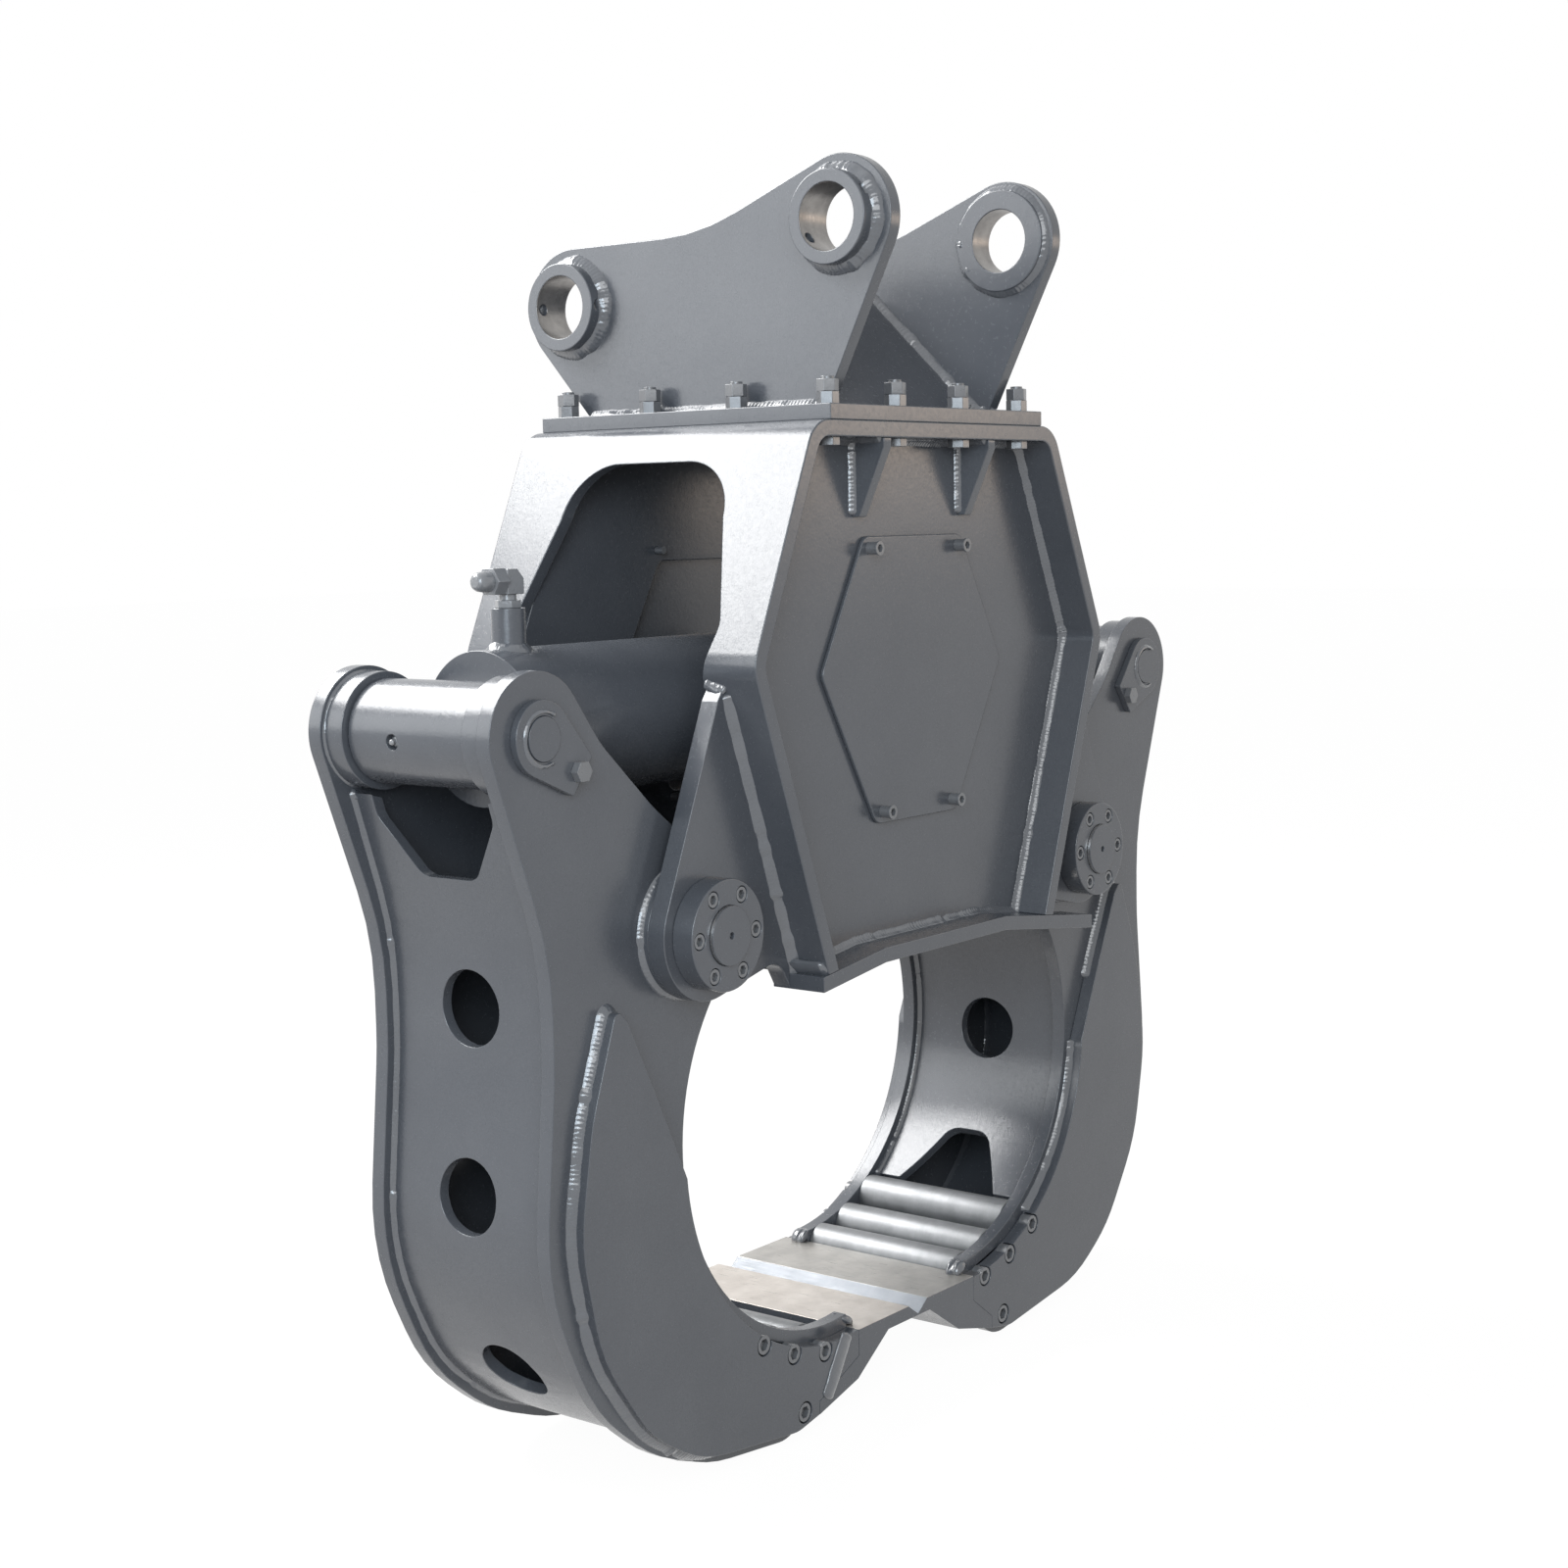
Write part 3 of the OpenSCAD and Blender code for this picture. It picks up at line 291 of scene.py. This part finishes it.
# Angles round a run's section; only the upper half shows, so the points lie close there.
section = np.radians([-90, -20, 12, 30, 46, 62, 78, 90, 102, 118, 134, 150, 168, 200])
weld_seed = np.random.default_rng(7)


def weld(line, crown, leg, throat=0.78, ripple=0.08, rugged=1.0, groove=0.0):
    """One weld as (points, faces, points in a section). Its section is an ellipse about the joint's
    corner, spread * leg to each side and throat * leg towards the crown. The height is multiplied by
    1 + ripple |sin(pi (s / scales - bow cos(a)**2))| + slow noise of s, rugged times as strong as in a
    calm run, + a hump and a crater at each restart. A weld of two beads side by side has a groove along
    its middle, 1 - groove exp(-(cos(a) / 0.35)**2). Open ends are domed."""
    scales, step, bow, spread, sunk = 5.2, 1.5, 0.75, 1.48, 0.35
    shut = np.linalg.norm(line[0] - line[-1]) < 0.5
    line, s = evenly(line, step)
    n = len(line)
    crown = np.broadcast_to(np.asarray(crown, float), line.shape) if np.ndim(crown) == 1 else crown
    if len(crown) != n:
        crown = np.stack([np.interp(np.linspace(0, 1, n), np.linspace(0, 1, len(crown)), c)
                          for c in crown.T], 1)
    along = np.gradient(line, axis=0)
    if shut:
        along[0] = along[-1] = line[1] - line[-2]
    along /= np.linalg.norm(along, axis=1)[:, None]
    up = crown - (crown * along).sum(1)[:, None] * along
    up /= np.linalg.norm(up, axis=1)[:, None]
    side = np.cross(along, up)

    def wave(period, size):
        """Slow noise along the weld: random knots of that size, joined by half waves of a cosine."""
        knots = weld_seed.normal(0, size * rugged, max(4, int(s[-1] / period) + 3))
        if shut:
            knots[-1] = knots[0]
        x = np.linspace(0, len(knots) - 1, n)
        k = np.minimum(x.astype(int), len(knots) - 2)
        t = (1 - np.cos(np.pi * (x - k))) / 2
        return knots[k] * (1 - t) + knots[k + 1] * t

    # One electrode lasts for about 270 mm. Each restart leaves a hump and, 9 mm on, a crater.
    run = 270 + weld_seed.uniform(-25, 25)
    count = max(1, round(s[-1] / run)) if shut else s[-1] / run
    to_start = (s / s[-1] * count + 0.5) % 1 * run - run / 2
    restart = 0.22 * np.exp(-(to_start / 5) ** 2) - 0.16 * np.exp(-((to_start - 9) / 4) ** 2)
    width = 1 + wave(22, 0.05) + 0.3 * restart
    height = 1 + wave(13, 0.05) + restart
    if not shut:
        end = np.minimum(s, s[-1] - s) / (0.8 * leg)
        dome = np.sqrt(np.clip(1 - (1 - np.minimum(end, 1)) ** 2, 0.004, 1))
        width, height = width * dome, height * dome
    phase = s[:, None] / scales + wave(40, 0.4)[:, None] - bow * np.cos(section) ** 2
    scale = 1 + ripple * (np.abs(np.sin(np.pi * phase)) - 0.64) * (np.sin(section) > 0)
    across = spread * leg * width[:, None] * np.cos(section)
    rise = np.where(np.sin(section) > 0, throat * leg, sunk * leg) * np.sin(section)
    rise = rise * height[:, None] * scale * (1 - groove * np.exp(-(np.cos(section) / 0.35) ** 2))
    points = (line + side * wave(30, 0.03 * leg)[:, None])[:, None, :] \
        + side[:, None, :] * across[:, :, None] + up[:, None, :] * rise[:, :, None]
    m = len(section)
    i, j = np.meshgrid(np.arange(n - 1), np.arange(m), indexing="ij")
    k = (j + 1) % m
    faces = np.stack([i * m + j, (i + 1) * m + j, (i + 1) * m + k, i * m + k], -1).reshape(-1, 4)
    return points.reshape(-1, 3), faces, m


def welds(name, body, runs):
    """One painted piece, riding on body, from several welds. A flat cap closes each of their ends."""
    points, faces, base = [], [], 0
    for p, f, m in runs:
        points.append(p)
        faces += (f + base).tolist()
        faces += [list(range(base, base + m)), list(range(base + len(p) - 1, base + len(p) - 1 - m, -1))]
        base += len(p)
    mesh = bpy.data.meshes.new(name)
    mesh.from_pydata(place(np.vstack(points)).tolist(), [], faces)
    mesh.polygons.foreach_set("use_smooth", np.ones(len(mesh.polygons), bool))
    mesh.materials.append(weld_paint)
    piece = bpy.data.objects.new(name, mesh)
    bpy.context.scene.collection.objects.link(piece)
    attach(piece, body)


# The welds' enamel is wetter than the hood's, and its lighter tones are a painted sheen.
weld_paint = enamel("grey enamel on welds, lighter as painted sheen", (0.086, 0.092, 0.103), (0.115, 0.120, 0.130),
                    0.15, 0.6, 1.5, 0.7)


def seam(line, normal, away, leg, y=None, rise=1, **how):
    """A fillet along a line from outline(), of a flat face with that normal. away = 1 leans it off the
    face and away = -1 onto it; rise = -1 leans it back below the face. With y given, the line is moved
    to that depth. how goes to weld()."""
    even = evenly(line, 4)[0]
    shut = np.linalg.norm(line[0] - line[-1]) < 0.5
    along = np.gradient(even, axis=0)
    if shut:
        along[0] = along[-1] = even[1] - even[-2]
    outwards = np.cross(along, normal)
    outwards /= np.linalg.norm(outwards, axis=1)[:, None]
    if y is not None:
        even[:, 1] = y
    return weld(even, away * outwards + rise * np.asarray(normal, float), leg, **how)


plate_y, strap_foot, strap_edge = 181.0, -69.0, 232.0
hood_runs = []
for s, node in ((-1, "front_plate"), (1, "rear_plate")):
    rim = outline(node, 1, s * plate_y)[0]
    hood_runs.append(seam(rim, (0, s, 0), -1, 8.5, throat=0.8, ripple=0.14, rugged=1.4, groove=0.3))
# A bead closes each end of the strap's foot, from the plate's corner to the strap's edge.
for side in (-1, 1):
    for s in (-1, 1):
        foot = np.array([[side * 259.0, s * 174.0, strap_foot], [side * 254.0, s * strap_edge, strap_foot]])
        hood_runs.append(weld(foot, (-side, 0, 1), 12, throat=0.9, ripple=0.03))
welds("hood_welds", "head", hood_runs)

# GUSSETS AND PIVOT PLATES
# Four small gussets brace the flange. Four pivot plates are butted against the strap's lower walls
# and carry the jaw pins; a broad flat weld joins each to the wall, wrapped round the strap's foot.

for node in ("flange_gussets", "left_pivot_plates", "right_pivot_plates"):
    finished(node, [grey_paint])
flange_z, gusset_x, gusset_half, gusset_tip, gusset_low = 573.0, 117.0, 8.0, 228.0, 479.0
gusset_runs = []
for s in (-1, 1):
    for x in (-gusset_x, gusset_x):
        for side in (-1, 1):
            edge = x + side * gusset_half
            down = np.array([[edge, s * plate_y, flange_z - 2], [edge, s * plate_y, gusset_low]])
            out = np.array([[edge, s * plate_y, flange_z], [edge, s * gusset_tip, flange_z]])
            gusset_runs += [weld(down, (side, s, 0), 7), weld(out, (side, 0, -1), 7)]
welds("gusset_welds", "head", gusset_runs)

knee_x, knee_z, foot_x, pivot_t = 391.0, 308.0, 282.0, 25.0


def wall_x(z):
    """Outer face of the strap's lower wall at height z."""
    return foot_x + (knee_x - foot_x) * z / knee_z


wall_out = np.array([knee_z, 0, foot_x - knee_x])
wall_out /= np.linalg.norm(wall_out)
pivot_runs = []
# Heights of the weld's bends, from its top down to the strap's foot, and of the short bead over its top.
bends_z, tip_z = (276, 150, 0, -86), (288, 280)
for side in (-1, 1):
    for s in (-1, 1):
        for y, out in ((s * plate_y, s), (s * (plate_y - pivot_t), -s)):
            line = np.array([[side * wall_x(z), y, z] for z in bends_z])
            crown = (side * wall_out[0], out, wall_out[2])
            pivot_runs.append(weld(line, crown, 14, throat=0.5, ripple=0.04))
        tip = np.array([[side * wall_x(tip_z[0]), s * (plate_y - pivot_t - 2), tip_z[0]],
                        [side * wall_x(tip_z[1]), s * (plate_y + 3), tip_z[1]]])
        pivot_runs.append(weld(tip, (side, 0, 0.6), 5, rugged=2))
welds("pivot_welds", "head", pivot_runs)

# INSPECTION COVERS
# Thin plates over the windows of the front and rear plates, each held on by four socket screws with
# tall spacers under their heads. They are sprayed with the hood.

finished("inspection_covers", [grey_paint], 1.8)
screw_paint = enamel("grey enamel on screws", (0.11, 0.112, 0.118), (0.145, 0.148, 0.154),
                     0.3, 0.25, 1.0, 0.4)
screws = finished("cover_screws", [screw_paint], 0.4).data
# The spacers stand 9 mm shorter than the CAD's: all that lies beyond their middle moves in.
spacer_middle, shorter = 0.203, 0.009
ends = np.empty(len(screws.vertices) * 3, np.float32)
screws.vertices.foreach_get("co", ends)
ends = ends.reshape(-1, 3)
ends[:, 1] -= np.where(np.abs(ends[:, 1]) > spacer_middle, shorter * np.sign(ends[:, 1]), 0)
screws.vertices.foreach_set("co", ends.ravel())

# PIN BRACKET
# A thick foot plate bolted on the hood's flange, two ears with a folded web between them, and turned
# bosses for the machine's pins. The bosses' bores are left bare: machined steel with a film of oil.

for node in ("bracket_foot_plate", "left_ear", "right_ear", "ear_web"):
    finished(node, [grey_paint])


def bare_steel(name, low, high, rough, grain, metallic=1.0):
    """Machined metal: stains between the tones low and high, with fine tool marks. grain is the size of
    the marks along X, Y and Z in metres."""
    material = bpy.data.materials.new(name)
    material.use_nodes = True
    tree = material.node_tree
    shader = tree.nodes["Principled BSDF"]
    coords = tree.nodes.new("ShaderNodeTexCoord")
    link = tree.links.new
    marks = tree.nodes.new("ShaderNodeMapping")
    marks.inputs["Scale"].default_value = [1 / g for g in grain]
    link(coords.outputs["Object"], marks.inputs["Vector"])
    lines = tree.nodes.new("ShaderNodeTexNoise")
    lines.inputs["Scale"].default_value = 1
    lines.inputs["Detail"].default_value = 3
    link(marks.outputs["Vector"], lines.inputs["Vector"])
    stain = tree.nodes.new("ShaderNodeTexNoise")
    stain.inputs["Scale"].default_value = 28
    stain.inputs["Detail"].default_value = 5
    stain.inputs["Roughness"].default_value = 0.65
    link(coords.outputs["Object"], stain.inputs["Vector"])
    tone = graded(tree, stain.outputs["Fac"], [(0.34, low), (0.66, high)])
    link(tone, shader.inputs["Base Color"])
    dullness = graded(tree, lines.outputs["Fac"], [(0.3, rough - 0.07), (0.7, rough + 0.1)])
    link(dullness, shader.inputs["Roughness"])
    bump = tree.nodes.new("ShaderNodeBump")
    bump.inputs["Strength"].default_value = 0.25
    bump.inputs["Distance"].default_value = 0.0001
    link(lines.outputs["Fac"], bump.inputs["Height"])
    link(bump.outputs["Normal"], shader.inputs["Normal"])
    shader.inputs["Metallic"].default_value = metallic
    return material


bore_steel = bare_steel("bored steel", (0.19, 0.182, 0.175), (0.33, 0.315, 0.30),
                        0.33, (0.0008, 0.02, 0.02), 0.8)
bed_z, bore_r, ear_in, ear_out, ear_half = 612.0, 40.0, 170.0, 190.0, 189.0
front_bore, rear_bore = (-216.0, bed_z + 219), (216.0, bed_z + 142)


def in_bore(x, y, z, n):
    """1 on the wall of a machine pin's bore."""
    near = [np.hypot(y - b[0], z - b[1]) < bore_r + 0.4 for b in (front_bore, rear_bore)]
    return ((near[0] | near[1]) & (np.abs(n[0]) < 0.5)).astype(int)


finished("ear_bosses", [grey_paint, bore_steel], 1.5, in_bore)


def ring(middle, radius, x=None, y=None):
    """A closed circle about middle in 120 steps, in the plane of constant x or constant y."""
    a = np.linspace(0, 2 * np.pi, 121)
    u, v = middle[0] + radius * np.cos(a), middle[1] + radius * np.sin(a)
    flat = np.full(len(a), float(x if x is not None else y))
    return np.stack([flat, u, v] if x is not None else [u, flat, v], 1)


def round_weld(middle, radius, leg, x=None, y=None, out=1, **how):
    """A weld round a boss that stands on a plate at x or y; out is the side it stands out to."""
    line = ring(middle, radius, x, y)
    crown = line - ring(middle, 0, x, y)
    crown /= radius
    crown[:, 0 if x is not None else 1] = out
    return weld(line, crown, leg, **how)


# The left ear's bosses stand out further and have a broader weld.
bracket_runs = []
for side, leg, rugged in ((-1, 11, 2.2), (1, 7, 2)):
    for bore in (front_bore, rear_bore):
        bracket_runs.append(round_weld(bore, 56, leg, x=side * ear_out, out=side, rugged=rugged))
        bracket_runs.append(round_weld(bore, 65, 7, x=side * ear_in, out=-side, rugged=2.2, ripple=0.12))
    for x, out in ((side * ear_out, side), (side * ear_in, -side)):
        foot = np.array([[x, -ear_half, bed_z], [x, ear_half, bed_z]])
        bracket_runs.append(weld(foot, (out, 0, 1), 9, rugged=1.6))
    for y, out in ((-ear_half - 2, -1), (ear_half + 2, 1)):
        toe = np.array([[side * (ear_in + 2), y, bed_z], [side * (ear_out - 2), y, bed_z]])
        bracket_runs.append(weld(toe, (0, out, 1), 8))
for side in (-1, 1):
    web_line = stretch(outline("ear_web", 0, side * ear_in)[0], lambda x, y, z: z > bed_z - 1)
    bracket_runs.append(seam(web_line, (side, 0, 0), 1, 9, rise=-1, rugged=1.8, ripple=0.12))
welds("bracket_welds", "head", bracket_runs)

# BRACKET BOLTS
# M16 hexagon bolts, head down, with a nut and a lock nut on top of the foot plate. They went in
# before the last coat, so the paint lies over them and only their corners shine.

for node in ("bracket_bolts", "bracket_nuts"):
    finished(node, [screw_paint], 0.6)

# JAW PINS
# Hardened and ground pins of 70 mm, each held by a thick round cap with six socket screws. The pins'
# ends, the caps and the screws are painted over.

pin_steel = bare_steel("ground steel", (0.45, 0.45, 0.45), (0.6, 0.6, 0.6), 0.25, (0.02, 0.001, 0.02))
pin_shown = plate_y + 20
finished("jaw_pins", [pin_steel, grey_paint], 1.0,
         lambda x, y, z, n: (np.abs(y) > pin_shown).astype(int))
finished("pin_caps", [grey_paint], 1.6)
finished("cap_screws", [screw_paint], 0.4)

# JAWS
# Each jaw is a box: two 20 mm side plates with doublers, a rolled inner and a bent outer plate
# between them with hand holes, a hub tube with bronze bushes, three grip bars and a welded-in blade.

turned, ground = (0.03, 0.0012, 0.03), (0.0015, 0.05, 0.05)
bar_steel = bare_steel("turned bar", (0.19, 0.195, 0.2), (0.25, 0.255, 0.26), 0.4, turned, 0.5)
# Both blades are the same ground steel. The left one is given lighter, warmer tones as a painted reflection
# of the light, and the right one darker, greyer tones as painted shade.
blade_steel = {
    "left": bare_steel("ground blade with painted glare", (0.52, 0.475, 0.43), (0.66, 0.61, 0.56), 0.34, ground, 0.6),
    "right": bare_steel("ground blade with painted shade", (0.36, 0.345, 0.325), (0.47, 0.45, 0.42), 0.34, ground, 0.6)}
bevel_steel = bare_steel("ground bevel", (0.20, 0.215, 0.235), (0.25, 0.265, 0.29), 0.42, ground, 0.2)
bronze = bare_steel("turned bronze", (0.42, 0.27, 0.11), (0.58, 0.40, 0.18), 0.3, (0.02, 0.001, 0.02))
jaw_y, jaw_in, doubler_y = 143.0, 123.0, 163.0
mouth, edge_r = (146.0, -265.0), 302.0
hub, eye = (420.0, 0.0), (657.0, 245.0)
blade_top, bevel_h = -565.0, 15.0
heel_x, heel_z = {"left": 113.0, "right": 153.0}, -559.0


def off_mouth(x, z, side):
    """Distance from the middle of the mouth's curve on the jaw of that side."""
    return np.hypot(x - side * mouth[0], z - mouth[1])


for side, jaw in ((-1, "left"), (1, "right")):
    for part in ("side_plates", "doublers", "outer_skin", "inner_skin"):
        finished(f"{jaw}_{part}", [grey_paint])
    finished(f"{jaw}_hub", [grey_paint])
    finished(f"{jaw}_hub_bushes", [bronze], 0.5)
    finished(f"{jaw}_grip_bars", [bar_steel], 1.0)
    finished(f"{jaw}_bar_screws", [screw_paint], 0.5)
    finished(f"{jaw}_blade", [grey_paint, blade_steel[jaw], bevel_steel], 0.5,
             lambda x, y, z, n: np.where(z > blade_top - 0.5, 1,
                                         np.where(z > blade_top - bevel_h - 0.6, 2, 0)))
    finished(f"{jaw}_eye_collars", [grey_paint])
    finished(f"{jaw}_eye_pin", [grey_paint], 1.0)
    finished(f"{jaw}_pin_keeper", [grey_paint])
    finished(f"{jaw}_keeper_bolt", [screw_paint], 0.6)

    # The doublers are welded along the upper part of their back and all round the mouth, the skins
    # along both side plates, and the blade at its heel.
    runs, skin_runs = [], []
    hub_here, eye_here = (side * hub[0], hub[1]), (side * eye[0], eye[1])
    for s in (-1, 1):
        doubler = outline(f"{jaw}_doublers", 1, s * doubler_y)[0]
        back = stretch(doubler, lambda x, y, z: (off_mouth(x, z, side) > edge_r + 4)
                       & (z < -64) & (side * x > 243))
        runs.append(seam(back, (0, s, 0), 1, 9, y=s * jaw_y))
        edge = stretch(doubler, lambda x, y, z: off_mouth(x, z, side) < edge_r + 2)
        runs.append(seam(edge, (0, s, 0), 1, 8, y=s * jaw_y, throat=0.75, ripple=0.05))
        heel = np.array([[side * heel_x[jaw], s * y, heel_z] for y in (122, 148)])
        runs.append(weld(heel, (-side * 0.6, 0, 1), 10, throat=0.9, rugged=2))
        if side < 0:
            end = np.array([[-139.0, s * doubler_y, -562], [-186, s * doubler_y, -636]])
            runs.append(weld(end, (0, s, 0), 8, throat=0.5, ripple=0.03))
        for skin in ("outer_skin", "inner_skin"):
            line = outline(f"{jaw}_{skin}", 1, s * jaw_in)[0]
            skin_runs.append(seam(line, (0, s, 0), 1, 5.5, rise=-1, throat=0.7))
        runs.append(round_weld(hub_here, 78, 6, y=s * jaw_y, out=s))
        runs.append(round_weld(eye_here, 65, 5, y=s * jaw_in, out=-s, rugged=2))
    runs.append(round_weld(eye_here, 42, 6, y=jaw_y, out=1))
    # The keeper plate is welded round the pin's end, but for an open stretch at one side.
    keeper_y, arc_r = -(jaw_y + 10), 30.5
    arc = ring(eye_here, arc_r, y=keeper_y)[18:100]
    crown = arc - ring(eye_here, 0, y=keeper_y)[18:100]
    runs.append(weld(arc, crown / arc_r - np.array([0, 1, 0]), 2.3, ripple=0.2, rugged=3))
    welds(f"{jaw}_jaw_welds", f"{jaw}_jaw", runs)
    welds(f"{jaw}_skin_welds", f"{jaw}_jaw", skin_runs)

# CYLINDER
# A double-acting cylinder: a painted barrel with port stubs, welded to a cross tube, a bolted gland,
# and a hard-chromed rod with a cross tube of its own. Elbows on the stubs are closed by plugs.

chrome = bare_steel("hard chrome", (0.68, 0.69, 0.70), (0.74, 0.75, 0.76), 0.12, (0.02, 0.02, 0.02))
for node in ("cylinder_barrel", "barrel_eye", "rod_eye", "cylinder_gland"):
    finished(node, [grey_paint], 1.0)
fitting_paint = enamel("grey enamel on fittings", (0.17, 0.173, 0.18), (0.22, 0.223, 0.23),
                       0.2, 0.3, 1.0, 0.3)
for node in ("port_adapters", "elbow_fittings", "port_plugs"):
    finished(node, [fitting_paint], 0.8)
for node in ("barrel_nipple", "rod_nipple"):
    finished(node, [fitting_paint], 0.3)

# A saddle weld follows the line where a stub of stub_r meets the barrel of barrel_r.
barrel_r, stub_r, port_x, barrel_back = 90.0, 20.0, (-549.0, 36.0), -600.0
a = np.linspace(0, 2 * np.pi, 97)
barrel_runs = []
for x in port_x:
    base = np.stack([x + stub_r * np.cos(a), stub_r * np.sin(a),
                     eye[1] + np.sqrt(barrel_r ** 2 - (stub_r * np.sin(a)) ** 2)], 1)
    barrel_runs.append(weld(base, np.stack([np.cos(a), np.sin(a), 1 + 0 * a], 1), 8, throat=0.7, rugged=2))
for up in (-1, 1):
    back = np.array([[barrel_back, y, eye[1] + up * 19] for y in (-84, 84)])
    barrel_runs.append(weld(back, (-0.1, 0, up), 9, rugged=2))
welds("barrel_welds", body_of["cylinder_barrel"], barrel_runs)
rod_end = round_weld((0, eye[1]), 45, 7, x=611, out=-1)
welds("rod_weld", body_of["piston_rod"], [rod_end])
for node in ("barrel_bushes", "rod_bushes"):
    finished(node, [bronze], 0.4)
finished("piston_rod", [chrome], 0.8)
finished("piston", [pin_steel], 0.5)


def rubber(name):
    """Black polyurethane with a dull, slightly mottled face."""
    material = bpy.data.materials.new(name)
    material.use_nodes = True
    tree = material.node_tree
    coords = tree.nodes.new("ShaderNodeTexCoord")
    grain = tree.nodes.new("ShaderNodeTexNoise")
    grain.inputs["Scale"].default_value = 400
    tree.links.new(coords.outputs["Object"], grain.inputs["Vector"])
    shader = tree.nodes["Principled BSDF"]
    tone = graded(tree, grain.outputs["Fac"], [(0.3, 0.012), (0.7, 0.03)])
    tree.links.new(tone, shader.inputs["Base Color"])
    shader.inputs["Roughness"].default_value = 0.55
    return material


seal_rubber = rubber("black seal")
for node in ("gland_seals", "piston_seals"):
    finished(node, [seal_rubber], 0.3)

# STUDIO
# A plain white floor and backdrop. A large soft window behind on the left lays its glare on the hood's
# left wall. A doorway, two weak panels in front and a small warm one on the right fill in.


def white_seen(tree, shade, part):
    """A mix of shade with something white, as large as part for rays that look at the background:
    camera, glossy and transmission rays."""
    looks = tree.nodes.new("ShaderNodeLightPath")

    def math_node(operation, first, second):
        """A Math node's result from two inputs, each a socket or a number."""
        node = tree.nodes.new("ShaderNodeMath")
        node.operation = operation
        for i, value in enumerate((first, second)):
            if isinstance(value, float):
                node.inputs[i].default_value = value
            else:
                tree.links.new(value, node.inputs[i])
        return node.outputs[0]

    mirrored = math_node("MAXIMUM", looks.outputs["Is Glossy Ray"], looks.outputs["Is Transmission Ray"])
    either = math_node("MAXIMUM", looks.outputs["Is Camera Ray"], mirrored)
    mix = tree.nodes.new("ShaderNodeMixShader")
    tree.links.new(math_node("MULTIPLY", either, part), mix.inputs["Fac"])
    tree.links.new(shade, mix.inputs[1])
    return mix


world = bpy.data.worlds.new("studio")
bpy.context.scene.world = world
world.use_nodes = True
tree = world.node_tree
tree.nodes["Background"].inputs["Color"].default_value = (0.86, 0.93, 1.0, 1)
tree.nodes["Background"].inputs["Strength"].default_value = 0.36
white = tree.nodes.new("ShaderNodeBackground")
white.inputs["Color"].default_value = (1, 1, 1, 1)
mix = white_seen(tree, tree.nodes["Background"].outputs[0], 1.0)
tree.links.new(white.outputs[0], mix.inputs[2])
tree.links.new(mix.outputs[0], tree.nodes["World Output"].inputs["Surface"])

floor_paint = bpy.data.materials.new("floor")
floor_paint.use_nodes = True
tree = floor_paint.node_tree
matt = tree.nodes["Principled BSDF"]
matt.inputs["Base Color"].default_value = (0.45, 0.42, 0.40, 1)
matt.inputs["Roughness"].default_value = 0.9
plain = tree.nodes.new("ShaderNodeEmission")
plain.inputs["Color"].default_value = (1, 1, 1, 1)
plain.inputs["Strength"].default_value = 1.1
mix = white_seen(tree, matt.outputs[0], 0.88)
tree.links.new(plain.outputs[0], mix.inputs[2])
tree.links.new(mix.outputs[0], tree.nodes["Material Output"].inputs["Surface"])
mesh = bpy.data.meshes.new("floor")
reach, under = 30.0, -0.001
corners = [(-reach, -reach, under), (reach, -reach, under), (reach, reach, under), (-reach, reach, under)]
mesh.from_pydata(corners, [], [(0, 1, 2, 3)])
mesh.materials.append(floor_paint)
floor = bpy.data.objects.new("floor", mesh)
bpy.context.scene.collection.objects.link(floor)


def panel(name, towards, far, size, power, colour):
    """A rectangular light in a direction from the object's middle, turned to face it."""
    middle = Vector((0, 0, 0.9))
    lamp = bpy.data.lights.new(name, "AREA")
    lamp.shape = "RECTANGLE"
    lamp.size, lamp.size_y = size
    lamp.energy = power
    lamp.color = colour
    light = bpy.data.objects.new(name, lamp)
    away = Vector(towards).normalized()
    light.location = middle + away * far
    light.rotation_euler = away.to_track_quat("Z", "Y").to_euler()
    bpy.context.scene.collection.objects.link(light)


panel("window", (-0.98, 2.2, 2.35), 3.35, (3.5, 1.5), 228, (1, 1, 1))
panel("doorway", (-0.77, 0.62, 0.25), 4.5, (2.6, 1.7), 34, (0.97, 0.99, 1))
panel("front", (-0.72, -0.75, 0.45), 4.5, (2.6, 2.6), 72, (0.96, 0.98, 1))
panel("left", (-1, -0.5, 0.25), 3.6, (1.4, 1.4), 42, (0.75, 0.88, 1))
panel("glow", (0.76, -0.65, 0.17), 4.0, (1.2, 0.7), 7.5, (1, 0.78, 0.6))

camera = bpy.data.cameras.new("camera")
camera.lens = 55.528
camera.sensor_width = 36
camera.clip_end = 100
stand = bpy.data.objects.new("camera", camera)
stand.location = (-2.55402, -1.95431, 0.47733 + pin_h)
stand.rotation_euler = Euler([math.radians(a) for a in (83.728, 1.113, -52.267)])
bpy.context.scene.collection.objects.link(stand)
bpy.context.scene.camera = stand
bpy.context.scene.view_settings.view_transform = "Standard"
